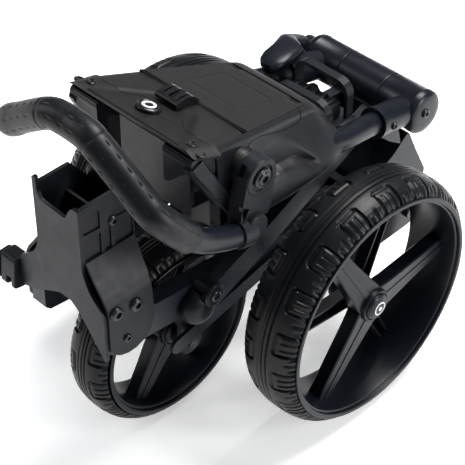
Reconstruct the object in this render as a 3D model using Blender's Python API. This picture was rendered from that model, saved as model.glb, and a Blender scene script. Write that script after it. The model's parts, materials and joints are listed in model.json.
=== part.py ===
"""Three-wheel folding golf trolley, folded flat and standing on its wheels.

Run with: blender --background --python part.py
Sizes below are millimetres and the finished objects are metres, +Z up, -Y towards the front wheel and
the bag rest, +X the left-hand side.  Places are given from the point on the floor under the rear axle,
and the whole trolley then stands with its bounding box centred over the world origin.
"""

import math

import bmesh
import bpy
from mathutils import Matrix, Vector

MM = 0.001
GAP = 0.3                      # clearance between pieces that touch
AXLE_Y = 37.0                  # rear axle ahead of the box centre, so that the box is centred on the origin

# Wheels
WHEEL_FACETS = 36
REAR_R, REAR_W, REAR_X = 145.0, 70.0, 141.0
FRONT_R, FRONT_W, FRONT_Y = 113.0, 56.0, -150.0
AXLE_R = 6.0
AXLE_FIT = 0.3

# Main hinge barrel
BARREL = (172.0, 258.0)        # Y, Z of its axis
BARREL_R = 25.0
KNUCKLE_HALF = 30.0
BARREL_HALF = 74.0
CAP_LENGTH = 9.0

# Frame
RAIL_INNER, RAIL_OUTER, RAIL_H = 37.0, 57.0, 38.0
RAIL_SLOPE = -0.12
RAIL_Z_AT_AXLE = 169.0
RAIL_FRONT, RAIL_REAR = -271.0, 112.0
LEG_PIVOT = (137.0, 150.0)
BRACE_HALF = 14.5
LUG_Y = 144.0                  # face of the hinge lug that the braces meet
LEG_X = (62.0, 76.0, 102.0)    # boss inner face, arm inner face, arm outer face
TUBE_R = 12.5

# Console: its top plane rises towards the front
TOP_Z, TOP_Y, TOP_SLOPE = 343.0, 4.0, 0.3057
CONSOLE_BOTTOM = 299.0
LID_BACK, LID_FRONT = 6.0, -95.0
LID_T = 4.0
LIP_Y = -180.0

# Handle: one arm on the left-hand side, and a bar whose other end is free
HANDLE_PIVOT = (-115.0, 350.0)
ARM_X = (92.6, 112.0)
BAR_SOCKET = (-126.0, 297.0)
BAR_R, GRIP_R = 12.5, 15.5
FREE_END_Z = 370.0             # the free half mirrors the bar down to this height
GRIP_START, GRIP_SEAM = 84.0, 33.0
BAR_PATH = [(107.6, -139, 295), (108, -152, 298.5), (108.5, -172, 307), (109, -198, 322), (109.5, -223, 348),
            (107, -234, 362), (101, -243, 374), (90, -245, 382), (65, -247, 400), (35, -249, 420),
            (20, -248, 425), (0, -247, 425)]

# Bag rest
REST_FRONT, REST_BACK = -276.0, -208.0
REST_HALF = 32.0
REST_FLOOR, REST_TOP = 288.0, 352.0

RUBBER = ((0.035, 0.036, 0.040), 0.62)
RIM = ((0.050, 0.053, 0.062), 0.38)
FRAME = ((0.060, 0.066, 0.080), 0.42)
NYLON = ((0.055, 0.058, 0.066), 0.55)
LID = ((0.085, 0.083, 0.085), 0.60)
FOAM = ((0.050, 0.053, 0.060), 0.70)
GLOSS = ((0.012, 0.012, 0.014), 0.15)
STEEL = ((0.070, 0.072, 0.078), 0.35)


def top_z(y):
    """Height of the console's top plane."""
    return TOP_Z + (TOP_Y - y) * TOP_SLOPE


def rail_z(y):
    """Height of the rails' centre line."""
    return RAIL_Z_AT_AXLE + RAIL_SLOPE * y


# ---------------------------------------------------------------- scene helpers

def clear_scene():
    for old in list(bpy.data.objects):
        bpy.data.objects.remove(old, do_unlink=True)


def material(name, look, metallic=0.0):
    colour, roughness = look
    mat = bpy.data.materials.new(name)
    mat.use_nodes = True
    shader = mat.node_tree.nodes["Principled BSDF"]
    shader.inputs["Base Color"].default_value = (*colour, 1.0)
    shader.inputs["Roughness"].default_value = roughness
    shader.inputs["Metallic"].default_value = metallic
    return mat


def pivot(name, place, parent=None):
    """Empty at a place given in the trolley's millimetres; the pieces that turn about it hang from it."""
    empty = bpy.data.objects.new(name, None)
    bpy.context.collection.objects.link(empty)
    empty["place"] = place
    if parent is None:
        empty.location = Vector(place) * MM + Vector((0, AXLE_Y, 0)) * MM
    else:
        empty.parent = parent
        empty.location = (Vector(place) - Vector(parent["place"])) * MM
    return empty


def add(name, bm, parent, look, mirrored=False, metallic=0.0, sharp=35.0):
    """Make the named object from a mesh in trolley millimetres and hang it from its pivot."""
    if mirrored:
        bmesh.ops.scale(bm, vec=(-1, 1, 1), verts=bm.verts)
        bmesh.ops.reverse_faces(bm, faces=bm.faces)
    bmesh.ops.translate(bm, vec=-Vector(parent["place"]), verts=bm.verts)
    bmesh.ops.scale(bm, vec=(MM, MM, MM), verts=bm.verts)
    mesh = bpy.data.meshes.new(name)
    bm.to_mesh(mesh)
    bm.free()
    mesh.shade_smooth()
    mesh.set_sharp_from_angle(angle=math.radians(sharp))
    obj = bpy.data.objects.new(name, mesh)
    bpy.context.collection.objects.link(obj)
    obj.parent = parent
    if look is not None:
        mesh.materials.append(material(name + "_finish", look, metallic))
    return obj


def tool(name, bm, parent, mirrored=False):
    """A shape that only joins or cuts another one."""
    obj = add(name, bm, parent, None, mirrored)
    obj.hide_render = True
    obj.display_type = 'WIRE'
    return obj


def boolean(target, other, operation):
    step = target.modifiers.new(operation.lower(), 'BOOLEAN')
    step.operation = operation
    step.solver = 'EXACT'
    step.object = other


def join(target, bm, mirrored=False):
    """Join another solid, given in trolley millimetres, to the target."""
    boolean(target, tool(target.name + "_join", bm, target.parent, mirrored), 'UNION')


def cut(target, bm, mirrored=False):
    boolean(target, tool(target.name + "_cut", bm, target.parent, mirrored), 'DIFFERENCE')


# ---------------------------------------------------------------- solids

def outward(bm):
    """Point every face out of the closed shape."""
    bmesh.ops.recalc_face_normals(bm, faces=bm.faces)
    if bm.calc_volume(signed=True) < 0:
        bmesh.ops.reverse_faces(bm, faces=bm.faces)
    return bm


def prism(outline, x0, x1):
    """Extrude a (y, z) outline along X."""
    bm = bmesh.new()
    near = [bm.verts.new((x0, y, z)) for y, z in outline]
    far = [bm.verts.new((x1, y, z)) for y, z in outline]
    count = len(near)
    bm.faces.new(near)
    bm.faces.new(list(reversed(far)))
    for i in range(count):
        j = (i + 1) % count
        bm.faces.new((near[j], near[i], far[i], far[j]))
    return outward(bm)


def slab(outline, y0, y1):
    """Extrude an (x, z) outline along Y."""
    bm = prism(outline, y0, y1)
    for vert in bm.verts:
        y, x, z = vert.co
        vert.co = (x, y, z)
    return outward(bm)


def block(x0, x1, y0, y1, z0, z1):
    return prism([(y0, z0), (y1, z0), (y1, z1), (y0, z1)], x0, x1)


def arc(cy, cz, radius, start, stop, steps):
    """Points on an arc in the YZ plane, in degrees from +Y towards +Z."""
    angles = [math.radians(start + (stop - start) * i / steps) for i in range(steps + 1)]
    return [(cy + radius * math.cos(a), cz + radius * math.sin(a)) for a in angles]


def link(first, r1, second, r2, steps=8):
    """Outline of a link: two round ends, (y, z) centres, joined by straight sides."""
    (y1, z1), (y2, z2) = first, second
    heading = math.degrees(math.atan2(z2 - z1, y2 - y1))
    lean = math.degrees(math.asin((r1 - r2) / math.hypot(y2 - y1, z2 - z1)))
    return (arc(y1, z1, r1, heading + 90 - lean, heading + 270 + lean, steps)
            + arc(y2, z2, r2, heading - 90 + lean, heading + 90 - lean, steps))


def cylinder(centre, radius, x0, x1, sides=24, phase=0.5):
    """Cylinder along X about a (y, z) centre."""
    step = 2 * math.pi / sides
    outline = [(centre[0] + radius * math.cos(step * (i + phase)),
                centre[1] + radius * math.sin(step * (i + phase))) for i in range(sides)]
    return prism(outline, x0, x1)


def turned(profile, centre, sides, closed_ring):
    """Turn an (x, radius) profile about the X line through a (y, z) centre.

    A closed ring joins the profile's last point to its first; otherwise both ends are capped.
    """
    bm = bmesh.new()
    step = 2 * math.pi / sides
    rings = []
    for x, radius in profile:
        rings.append([bm.verts.new((x, centre[0] + radius * math.cos(step * (i + 0.5)),
                                    centre[1] + radius * math.sin(step * (i + 0.5)))) for i in range(sides)])
    count = len(rings)
    spans = count if closed_ring else count - 1
    for k in range(spans):
        a, b = rings[k], rings[(k + 1) % count]
        for i in range(sides):
            j = (i + 1) % sides
            bm.faces.new((a[i], a[j], b[j], b[i]))
    if not closed_ring:
        bm.faces.new(rings[0])
        bm.faces.new(rings[-1])
    return outward(bm)


def smooth_path(points, per_span=3):
    """Catmull-Rom curve through the points."""
    pts = [Vector(p) for p in points]
    pts = [pts[0] * 2 - pts[1]] + pts + [pts[-1] * 2 - pts[-2]]
    curve = []
    for a, b, c, d in zip(pts, pts[1:], pts[2:], pts[3:]):
        for i in range(per_span):
            t = i / per_span
            curve.append(0.5 * (2 * b + (c - a) * t + (2 * a - 5 * b + 4 * c - d) * t * t
                                + (3 * b - a - 3 * c + d) * t ** 3))
    curve.append(pts[-2])
    return curve


def path_piece(points, start, stop):
    """The part of a polyline between two distances along it."""
    piece, travelled = [], 0.0
    for a, b in zip(points, points[1:]):
        length = (b - a).length
        for mark in (start, stop):
            if travelled <= mark < travelled + length:
                piece.append(a.lerp(b, (mark - travelled) / length))
        travelled += length
        if start < travelled < stop:
            piece.append(b.copy())
    if stop >= travelled and (not piece or (piece[-1] - points[-1]).length > 1e-6):
        piece.append(points[-1].copy())
    return piece


def sweep(path, radius, hole=None, sides=12):
    """Round bar along a path; with a hole it is a sleeve."""
    bm = bmesh.new()
    tangents = []
    for i in range(len(path)):
        a = path[max(i - 1, 0)]
        b = path[min(i + 1, len(path) - 1)]
        tangents.append((b - a).normalized())
    side = tangents[0].orthogonal().normalized()
    outer, inner = [], []
    for point, tangent in zip(path, tangents):
        side = (side - tangent * side.dot(tangent)).normalized()
        up = tangent.cross(side)
        ring = [side * math.cos(2 * math.pi * k / sides) + up * math.sin(2 * math.pi * k / sides)
                for k in range(sides)]
        outer.append([bm.verts.new(point + v * radius) for v in ring])
        if hole:
            inner.append([bm.verts.new(point + v * hole) for v in ring])
    for shell in (outer, inner):
        for a, b in zip(shell, shell[1:]):
            for k in range(sides):
                m = (k + 1) % sides
                bm.faces.new((a[k], a[m], b[m], b[k]))
    for end in (0, -1):
        if hole:
            for k in range(sides):
                m = (k + 1) % sides
                bm.faces.new((outer[end][k], outer[end][m], inner[end][m], inner[end][k]))
        else:
            bm.faces.new(outer[end])
    return outward(bm)


def path_length(path):
    return sum((b - a).length for a, b in zip(path, path[1:]))


def loft(stations):
    """Join closed loops of equal length, each a list of (x, y, z), into one capped solid."""
    bm = bmesh.new()
    rings = [[bm.verts.new(p) for p in loop] for loop in stations]
    count = len(rings[0])
    for a, b in zip(rings, rings[1:]):
        for i in range(count):
            j = (i + 1) % count
            bm.faces.new((a[i], a[j], b[j], b[i]))
    bm.faces.new(rings[0])
    bm.faces.new(rings[-1])
    return outward(bm)


def screw_head(centre, radius, x0, x1):
    """Socket-head screw along X: a chamfered round head."""
    chamfer = 0.8 if x1 > x0 else -0.8
    return turned([(x0, radius), (x1 - chamfer, radius), (x1, radius - 0.8)], centre, 12, False)


# ---------------------------------------------------------------- wheels

def wheel(name, parent, radius, width, mirrored=False, through_axle=False):
    """Tyre, one-piece rim with spokes, and hub cap, with the dished face outwards."""
    x, y, z = parent["place"]
    x = abs(x)
    facet = radius / math.cos(math.pi / WHEEL_FACETS)
    half = width / 2
    bead = radius - 16.5
    tyre = turned([(x - half, bead + 4), (x - half + 2, facet - 7), (x - half + 12, facet),
                   (x + half - 12, facet), (x + half - 2, facet - 7), (x + half, bead + 4),
                   (x + half - 4, bead), (x - half + 4, bead)], (y, z), WHEEL_FACETS, True)
    add(name + "_tyre", tyre, parent, RUBBER, mirrored)

    seat = bead - GAP
    ring = turned([(x - half + 5, seat), (x + half - 4, seat), (x + half, seat + 3), (x + half + 2, seat + 2),
                   (x + half + 2, seat - 2), (x + half - 6, seat - 6), (x + half * 0.1, seat - 9),
                   (x - half + 5, seat - 7)], (y, z), WHEEL_FACETS, True)
    rim = add(name + "_rim", ring, parent, RIM, mirrored)
    hub_out = x + half * 0.8
    join(rim, turned([(x - half * 0.72, 17), (hub_out - 6, 20), (hub_out, 17)], (y, z), 20, False), mirrored)
    reach = seat - 3.6
    for k in range(6):
        turn = Matrix.Rotation(math.radians(60 * k), 4, 'X')
        outer = k % 2 == 0
        deep = 8.5 if outer else 7.0
        x_rim, x_hub, root, tip = ((x + half * 0.17, hub_out - 4 - deep, 14.6, 8) if outer
                                   else (x - half * 0.36, x - half * 0.13, 9.3, 6))
        loops = []
        for r, xc, w in ((8, x_hub, root), (reach, x_rim, tip)):
            loops.append([(xc - deep, r, -w), (xc + deep, r, -w), (xc + deep, r, w), (xc - deep, r, w)])
        spoke = loft(loops)
        bmesh.ops.transform(spoke, matrix=turn, verts=spoke.verts)
        bmesh.ops.translate(spoke, vec=(0, y, z), verts=spoke.verts)
        join(rim, spoke, mirrored)
    cut(rim, cylinder((y, z), AXLE_R + AXLE_FIT, x - half - 5, hub_out + 5, 18), mirrored)
    cap = turned([(hub_out + GAP, 15.5), (hub_out + 3.5, 14), (hub_out + 5.5, 9)], (y, z), 18, False)
    hub_cap = add(name + "_hub_cap", cap, parent, RIM, mirrored)
    if through_axle:
        cut(hub_cap, cylinder((y, z), AXLE_R + AXLE_FIT, hub_out - 5, hub_out + 9, 18), mirrored)


# ---------------------------------------------------------------- chassis

def rails(chassis):
    for name, mirrored in (("left", False), ("right", True)):
        half = RAIL_H / 2
        outline = [(RAIL_FRONT, rail_z(RAIL_FRONT) - half + 6), (RAIL_FRONT + 6, rail_z(RAIL_FRONT) - half),
                   (RAIL_REAR, rail_z(RAIL_REAR) - half), (RAIL_REAR, rail_z(RAIL_REAR) + half),
                   (RAIL_FRONT, rail_z(RAIL_FRONT) + half)]
        add("rail_" + name, prism(outline, RAIL_INNER, RAIL_OUTER), chassis, FRAME, mirrored)


def rear_spine(chassis):
    """Knuckle of the main hinge, the web under it, and the wide plate that carries the leg pivots."""
    y, z = BARREL
    spine = add("rear_spine", cylinder(BARREL, BARREL_R, -KNUCKLE_HALF, KNUCKLE_HALF, 24), chassis, FRAME)
    web = [(y - 18, z - 10), (y + 20, z - 8), (y + 42, z - 60), (y + 20, z - 60)]
    join(spine, prism(web, -KNUCKLE_HALF + 1, KNUCKLE_HALF - 1))
    lug = [(LUG_Y, 223), (LUG_Y, 253), (y - 6, z + 4), (y + 4, z - 44)]
    join(spine, prism(lug, -KNUCKLE_HALF + 1.5, KNUCKLE_HALF - 1.5))
    py, pz = LEG_PIVOT
    front = RAIL_REAR + GAP
    plate = [(y + 3, z - 37), (y + 17, z - 67), (py + 75, pz - 4), (py + 59, pz - 22),
             (front, pz - 18), (front, pz + 32), (py + 13, pz + 50)]
    join(spine, prism(plate, -RAIL_OUTER - 2, RAIL_OUTER + 2))
    cut(spine, cylinder(BARREL, 8 + GAP, -KNUCKLE_HALF - 5, KNUCKLE_HALF + 5, 16))
    cut(spine, cylinder(LEG_PIVOT, 7 + GAP, -RAIL_OUTER - 9, RAIL_OUTER + 9, 16))
    pin = turned([(-BARREL_HALF + 2, 8), (BARREL_HALF - 2, 8)], BARREL, 16, False)
    add("main_hinge_pin", pin, chassis, STEEL, metallic=1.0)
    shaft = turned([(-LEG_X[2] + 1, 7), (LEG_X[2] - 1, 7)], LEG_PIVOT, 16, False)
    add("leg_pivot_shaft", shaft, chassis, STEEL, metallic=1.0)


def braces(chassis):
    """Flat struts from the ball knuckles on the rails up to the main hinge."""
    start = Vector((66.5, -150, 187))
    bend = Vector((65.5, -70, 217))
    end = Vector((22, LUG_Y - GAP, 238))
    for name, mirrored in (("left", False), ("right", True)):
        loops = []
        for point, lean in ((start, 4.0), (bend, 2.0), (end, 0.0)):
            low, high = (point.y + lean, point.z - BRACE_HALF), (point.y - lean, point.z + BRACE_HALF)
            loops.append([(point.x - 6.5, *low), (point.x + 6.5, *low), (point.x + 6.5, *high),
                          (point.x - 6.5, *high)])
        add("brace_" + name, loft(loops), chassis, FRAME, mirrored)
        ball = turned([(RAIL_OUTER + GAP, 17), (60, 20), (68, 21), (75, 17), (79, 9)], (-158, 183), 18, False)
        knuckle = add("brace_knuckle_" + name, ball, chassis, NYLON, mirrored)
        join(knuckle, turned([(60, 13), (79, 13), (81, 11)], (-147, 199), 16, False), mirrored)
        slot = []
        for reach in (-0.1, 0.5):
            point = start.lerp(bend, reach)
            lean = 4.0 - 2.0 * reach
            low, high = point.z - BRACE_HALF - GAP, point.z + BRACE_HALF + GAP
            side = 6.5 + GAP
            slot.append([(point.x + dx, point.y + lean * dy, z) for dx, dy, z in
                         ((-side, 1, low), (side, 1, low), (side, -1, high), (-side, -1, high))])
        cut(knuckle, loft(slot), mirrored)


def side_struts(chassis):
    """Flat struts along the underside of the rails, each on two short bosses."""
    front, rear = (-184, 142), (-30, 173)
    for name, mirrored in (("left", False), ("right", True)):
        blade = prism(link(front, 9, rear, 9, 6), 59.5, 63.5)
        strut = add("side_strut_" + name, blade, chassis, FRAME, mirrored)
        join(strut, cylinder((-160, 152), 5, 55 + GAP, 60, 12), mirrored)
        join(strut, cylinder(rear, 5, RAIL_OUTER + GAP, 60, 12), mirrored)


def front_fork(chassis):
    """Dropouts that hang from the rails and the front axle between them."""
    for name, mirrored in (("left", False), ("right", True)):
        outline = link((FRONT_Y, FRONT_R), 15, (FRONT_Y, rail_z(FRONT_Y) - RAIL_H / 2 - 16), 14)
        under = RAIL_H / 2 + GAP
        flange = [(FRONT_Y - 26, rail_z(FRONT_Y - 26) - under), (FRONT_Y - 16, rail_z(FRONT_Y) - under - 22),
                  (FRONT_Y + 16, rail_z(FRONT_Y) - under - 22), (FRONT_Y + 26, rail_z(FRONT_Y + 26) - under)]
        drop = add("dropout_" + name, prism(outline, 40, 46), chassis, NYLON, mirrored)
        join(drop, prism(flange, 39, 55), mirrored)
        join(drop, cylinder((FRONT_Y, FRONT_R), 12, FRONT_W / 2 + 0.8, 41, 16), mirrored)
        cut(drop, cylinder((FRONT_Y, FRONT_R), AXLE_R + GAP, 20, 60, 16), mirrored)
    axle = turned([(-50, AXLE_R), (50, AXLE_R)], (FRONT_Y, FRONT_R), 16, False)
    add("front_axle", axle, chassis, STEEL, metallic=1.0)


def bag_rest(chassis):
    """Open-topped moulded rest at the front, its cheeks on the rails, and the side foot."""
    lo, hi = REST_FRONT, REST_BACK
    wall = [(-REST_HALF, REST_FLOOR), (REST_HALF, REST_FLOOR), (REST_HALF, REST_TOP + 4), (22, REST_TOP + 4),
            (14, REST_TOP - 18), (-REST_HALF + 8, REST_TOP - 14), (-REST_HALF + 4, REST_TOP + 14),
            (-REST_HALF, REST_TOP + 12)]
    box = add("bag_rest", slab(wall, lo, lo + 4), chassis, NYLON)
    splay = [(-REST_HALF, REST_FLOOR + 6), (-44, 262), (-64, 246), (-66, 206), (-20, 226), (8, 238),
             (34, 212), (59, 178), (59, 240), (REST_HALF, 268), (REST_HALF, REST_FLOOR + 6)]
    join(box, slab(splay, lo, lo + 4.5))
    side = [(lo, REST_FLOOR - 4), (hi, REST_FLOOR - 10), (hi, REST_TOP - 28), (-232, REST_TOP + 4),
            (lo, REST_TOP + 4)]
    join(box, prism(side, REST_HALF - 4, REST_HALF))
    join(box, prism(side, -REST_HALF, -REST_HALF + 4))
    back = ([(-REST_HALF, REST_FLOOR - 8), (REST_HALF, REST_FLOOR - 8)]
            + arc(0, REST_TOP - 26, REST_HALF, 0, 180, 10))
    join(box, slab(back, hi - 4, hi))
    join(box, prism([(lo, REST_FLOOR), (hi, REST_FLOOR - 10), (hi, REST_FLOOR - 5), (lo, REST_FLOOR + 5)],
                    -REST_HALF + 1, REST_HALF - 1))
    join(box, block(6, 9, lo + 2, hi - 2, REST_FLOOR - 2, REST_TOP - 22))
    join(box, block(-REST_HALF + 2, REST_HALF - 2, -240, -237, REST_FLOOR - 4, REST_TOP - 24))
    neck = [(lo, 236), (lo + 26, 236), (lo + 34, REST_FLOOR + 2), (lo, REST_FLOOR + 2)]
    join(box, prism(neck, -24, 24))
    for name, mirrored in (("left", False), ("right", True)):
        outline = ([(-271.5, 196), (-268, 178)] + arc(-246, 200, 33, 232, 350, 8)
                   + [(-216, 226), (-228, 300), (-240, 303), (-271.2, 292)])
        add("cheek_" + name, prism(outline, RAIL_OUTER + GAP, RAIL_OUTER + 4.5), chassis, NYLON, mirrored)
        face = RAIL_OUTER + 4.5 + GAP
        for place, centre in (("front", (-262, 240)), ("rear", (-237, 236))):
            head = screw_head(centre, 7.5, face, face + 4)
            add(f"cheek_screw_{place}_{name}", head, chassis, STEEL, mirrored, metallic=1.0)
    tie = slab([(-RAIL_OUTER, 226), (RAIL_OUTER, 226), (RAIL_OUTER, 236 - GAP), (-RAIL_OUTER, 236 - GAP)],
               lo + 5, -222)
    add("bag_rest_tie", tie, chassis, NYLON)
    foot = prism([(-286, 200), (-264, 198), (-261, 240), (-283, 238)], -88, -66.5)
    add("side_foot", foot, chassis, NYLON)
    pad = prism([(-288, 203), (-266, 201), (-263, 237), (-285, 235)], -94, -88.3)
    add("side_foot_pad", pad, chassis, RUBBER)


# ---------------------------------------------------------------- legs

def legs(left_leg, right_leg):
    for name, parent, mirrored in (("left", left_leg, False), ("right", right_leg, True)):
        outline = link((0, REAR_R), 17, LEG_PIVOT, 20)
        arm = add("leg_" + name, prism(outline, LEG_X[1], LEG_X[1] + 20), parent, FRAME, mirrored)
        join(arm, cylinder(LEG_PIVOT, 17, LEG_X[0], LEG_X[1] + 4, 20), mirrored)
        join(arm, cylinder((0, REAR_R), 14, LEG_X[1] + 10, LEG_X[2], 20), mirrored)
        cut(arm, cylinder(LEG_PIVOT, 7 + GAP, LEG_X[0] - 5, LEG_X[2], 16), mirrored)
        cut(arm, cylinder((0, REAR_R), AXLE_R + GAP, LEG_X[1] - 5, LEG_X[2] + 5, 16), mirrored)
        hub_out = REAR_X + REAR_W / 2 * 0.8
        axle = turned([(LEG_X[1] + 1, AXLE_R), (hub_out - 1, AXLE_R)], (0, REAR_R), 16, False)
        add("rear_axle_" + name, axle, parent, STEEL, mirrored, metallic=1.0)


# ---------------------------------------------------------------- upper frame

def hinge_sleeves(upper):
    y, z = BARREL
    for name, mirrored in (("left", False), ("right", True)):
        x0 = KNUCKLE_HALF + GAP
        shell = turned([(x0, BARREL_R), (BARREL_HALF, BARREL_R),
                        (BARREL_HALF + CAP_LENGTH * 0.6, BARREL_R - 5),
                        (BARREL_HALF + CAP_LENGTH, BARREL_R - 14)], BARREL, 24, False)
        sleeve = add("hinge_sleeve_" + name, shell, upper, FRAME, mirrored)
        arm = [Vector((62, y - 12, z + 2)), Vector((63, y - 40, z + 8)), Vector((64, y - 68, z + 14))]
        join(sleeve, sweep(arm, 17, sides=16), mirrored)
        cut(sleeve, cylinder(BARREL, 8 + GAP, x0 - 5, BARREL_HALF, 16), mirrored)
        cut(sleeve, sweep([Vector((64.3, y - 78, z + 16)), Vector((63, y - 46, z + 9.3))],
                          TUBE_R + 4 * GAP, sides=16), mirrored)
        path = smooth_path([(63.1, y - 49, z + 10), (64, y - 68, z + 14), (69, 72, 276), (75, 40, 280),
                            (84, -5, 283), (88, -50, 284), (89, -98, 284)], 3)
        add("frame_tube_" + name, sweep(path, TUBE_R, sides=12), upper, FRAME, mirrored)
        bolt = screw_head((y - 3, z + 3), 5, BARREL_HALF + CAP_LENGTH + GAP, BARREL_HALF + CAP_LENGTH + 3)
        add("barrel_end_bolt_" + name, bolt, upper, STEEL, mirrored, metallic=1.0)


def console_section(y, top_half, top, wide, bottom):
    """One cross-section of the console, counter-clockwise from the lower left."""
    shoulder = top - 9
    return [(-wide, y, bottom), (wide, y, bottom), (top_half + (wide - top_half) * 0.25, y, shoulder),
            (top_half, y, top), (-top_half, y, top), (-top_half - (wide - top_half) * 0.25, y, shoulder)]


def rib_outline(grow=0.0):
    """Thick rib of a side bracket, from the console's front corner down to the handle bar's socket."""
    return link((-167, top_z(-166) - 20), 9 + grow, (-128, 304), 8 + grow, 6)


def console(upper):
    bottom = CONSOLE_BOTTOM
    stations = [console_section(46, 50, 312, 66, bottom + 1), console_section(36, 54, 322, 76, bottom),
                console_section(12, 56, top_z(12) - 2, 84, bottom),
                console_section(-30, 63, top_z(-30), 89, bottom),
                console_section(-97, 75, top_z(-97), 91, bottom),
                console_section(-150, 84, top_z(-150), 91, bottom)]
    body = add("console_body", loft(stations), upper, NYLON)
    lip = [(-150.5, top_z(-150) - 12), (-149, top_z(-150)), (LIP_Y, top_z(LIP_Y)), (LIP_Y, top_z(LIP_Y) - 10)]
    join(body, prism(lip, -82, 82))
    recess = [(-60, 340), (-60, bottom - 5), (-145, bottom - 5), (-145, 330)]
    cut(body, prism(recess, -62, 62))
    cut(body, block(-58, 58, -40, 30, bottom - 5, bottom + 8))
    lid_bed = [(LID_BACK + GAP, top_z(LID_BACK) - LID_T - GAP),
               (LID_FRONT - GAP, top_z(LID_FRONT) - LID_T - GAP),
               (LID_FRONT - GAP, top_z(LID_FRONT) + 5), (LID_BACK + GAP, top_z(LID_BACK) + 5)]
    bed_cut = prism(lid_bed, -1, 1)
    for vert in bed_cut.verts:
        near_front = vert.co.y < -50
        vert.co.x *= 72.3 if near_front else 52.3
    cut(body, bed_cut)
    tray = [(-12, 316), (-84, 322), (-84, 372), (-12, 352)]
    cut(body, prism(tray, -44, 44))
    join(body, cylinder(HANDLE_PIVOT, 18, 78, ARM_X[0] - GAP, 20))
    for mirrored in (False, True):
        cut(body, prism(rib_outline(GAP), 76 - GAP, 96), mirrored)


def on_top(bm, x, y):
    """Stand a shape that was turned about X on the console's sloping top."""
    bmesh.ops.rotate(bm, matrix=Matrix.Rotation(math.radians(-90), 3, 'Y'), verts=bm.verts)
    bmesh.ops.rotate(bm, matrix=Matrix.Rotation(-math.atan(TOP_SLOPE), 3, 'X'), verts=bm.verts)
    bmesh.ops.translate(bm, vec=(x, y, top_z(y) + 2 * GAP), verts=bm.verts)
    return bm


def console_lid(lid_pivot):
    plate = [(LID_BACK, top_z(LID_BACK) - LID_T), (LID_FRONT, top_z(LID_FRONT) - LID_T),
             (LID_FRONT, top_z(LID_FRONT)), (LID_BACK, top_z(LID_BACK))]
    lid = prism(plate, -1, 1)
    for vert in lid.verts:
        vert.co.x *= 72 if vert.co.y < -50 else 52
    add("console_lid", lid, lid_pivot, LID)


def console_front(upper):
    """Side brackets of the console's open front: shoulder, web and thick rib."""
    for name, mirrored in (("left", False), ("right", True)):
        shoulder = [(-151, top_z(-151) - 13), (LIP_Y, top_z(LIP_Y) - 11), (-183, top_z(-183) - 24),
                    (-151, top_z(-151) - 30)]
        bracket = add("console_bracket_" + name, prism(shoulder, 46, 91), upper, NYLON, mirrored)
        join(bracket, prism(rib_outline(), 76, 91), mirrored)
        web = [(46, top_z(-181) - 14), (46, 352), (52, 350), (76, 376), (80, top_z(-181) - 14)]
        join(bracket, slab(web, -181, -176), mirrored)
    badge = on_top(turned([(0, 12), (1.6, 12), (2.4, 10)], (0, 0), 24, False), -6, -150)
    add("console_badge", badge, upper, GLOSS)


def lid_latch(latch_pivot):
    z0 = top_z(-113)
    outline = [(-129, top_z(-129) + GAP), (-99, top_z(-99) + GAP), (-98, top_z(-98) + 7), (-108, z0 + 11),
               (-120, z0 + 12), (-129, top_z(-129) + 6)]
    latch = add("lid_latch", prism(outline, -24, 20), latch_pivot, GLOSS)
    cut(latch, prism([(-126, z0 + 3), (-104, z0 + 1), (-104, z0 + 30), (-126, z0 + 30)], 4, 9))


def bag_cradle(upper):
    """Two black hoops on a plate, carried by a cross-bar between the frame tubes."""
    half, corner, thick = 38, 16, 4.5
    for name, y, top, foot, width in (("rear", 96, 315, 272, 10), ("front", 64, 302, 272, 9)):
        outer = ([(half, foot)] + arc(half - corner, top - corner, corner, 0, 90, 5)
                 + arc(-half + corner, top - corner, corner, 90, 180, 5) + [(-half, foot)])
        inner = ([(-half + thick, foot)] + arc(-half + corner, top - corner, corner - thick, 180, 90, 5)
                 + arc(half - corner, top - corner, corner - thick, 90, 0, 5) + [(half - thick, foot)])
        add("cradle_hoop_" + name, slab(outer + inner, y - width / 2, y + width / 2), upper, NYLON)
    add("cradle_plate", block(-40, 40, 57, 103, 267, 272 - GAP), upper, NYLON)
    crossbar = turned([(-56, 7), (56, 7)], (80, 259.5), 12, False)
    bar = add("cradle_crossbar", crossbar, upper, STEEL, metallic=1.0)
    for sign in (False, True):
        cut(bar, sweep([Vector((64, 104, 272)), Vector((69, 72, 276)), Vector((75, 40, 280))],
                       TUBE_R + GAP, sides=12), sign)


def fold_lever(lever_pivot):
    """Hub outside the barrel's right-hand end, and a paddle that closes down over the frame tube."""
    y, z = BARREL
    hub_x = -BARREL_HALF - CAP_LENGTH - 3.5
    lever = add("fold_lever", cylinder(BARREL, 17, hub_x - 11, hub_x, 20), lever_pivot, FRAME)
    paddle = []
    for place_y, x0, x1, z0, z1 in ((y - 6, hub_x - 10.5, hub_x - 0.5, z + 2, z + 22),
                                    (142, hub_x - 10, hub_x + 4, 278, 294), (128, -92, -58, 288, 303),
                                    (104, -84, -50, 292, 306), (82, -80, -50, 291, 304),
                                    (74, -74, -55, 293, 301)):
        paddle.append([(x0, place_y, z0), (x1, place_y, z0), (x1, place_y, z1), (x0, place_y, z1)])
    join(lever, loft(paddle))
    cut(lever, cylinder(BARREL, 10, hub_x - 20, hub_x + 6, 20))


# ---------------------------------------------------------------- handle

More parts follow.
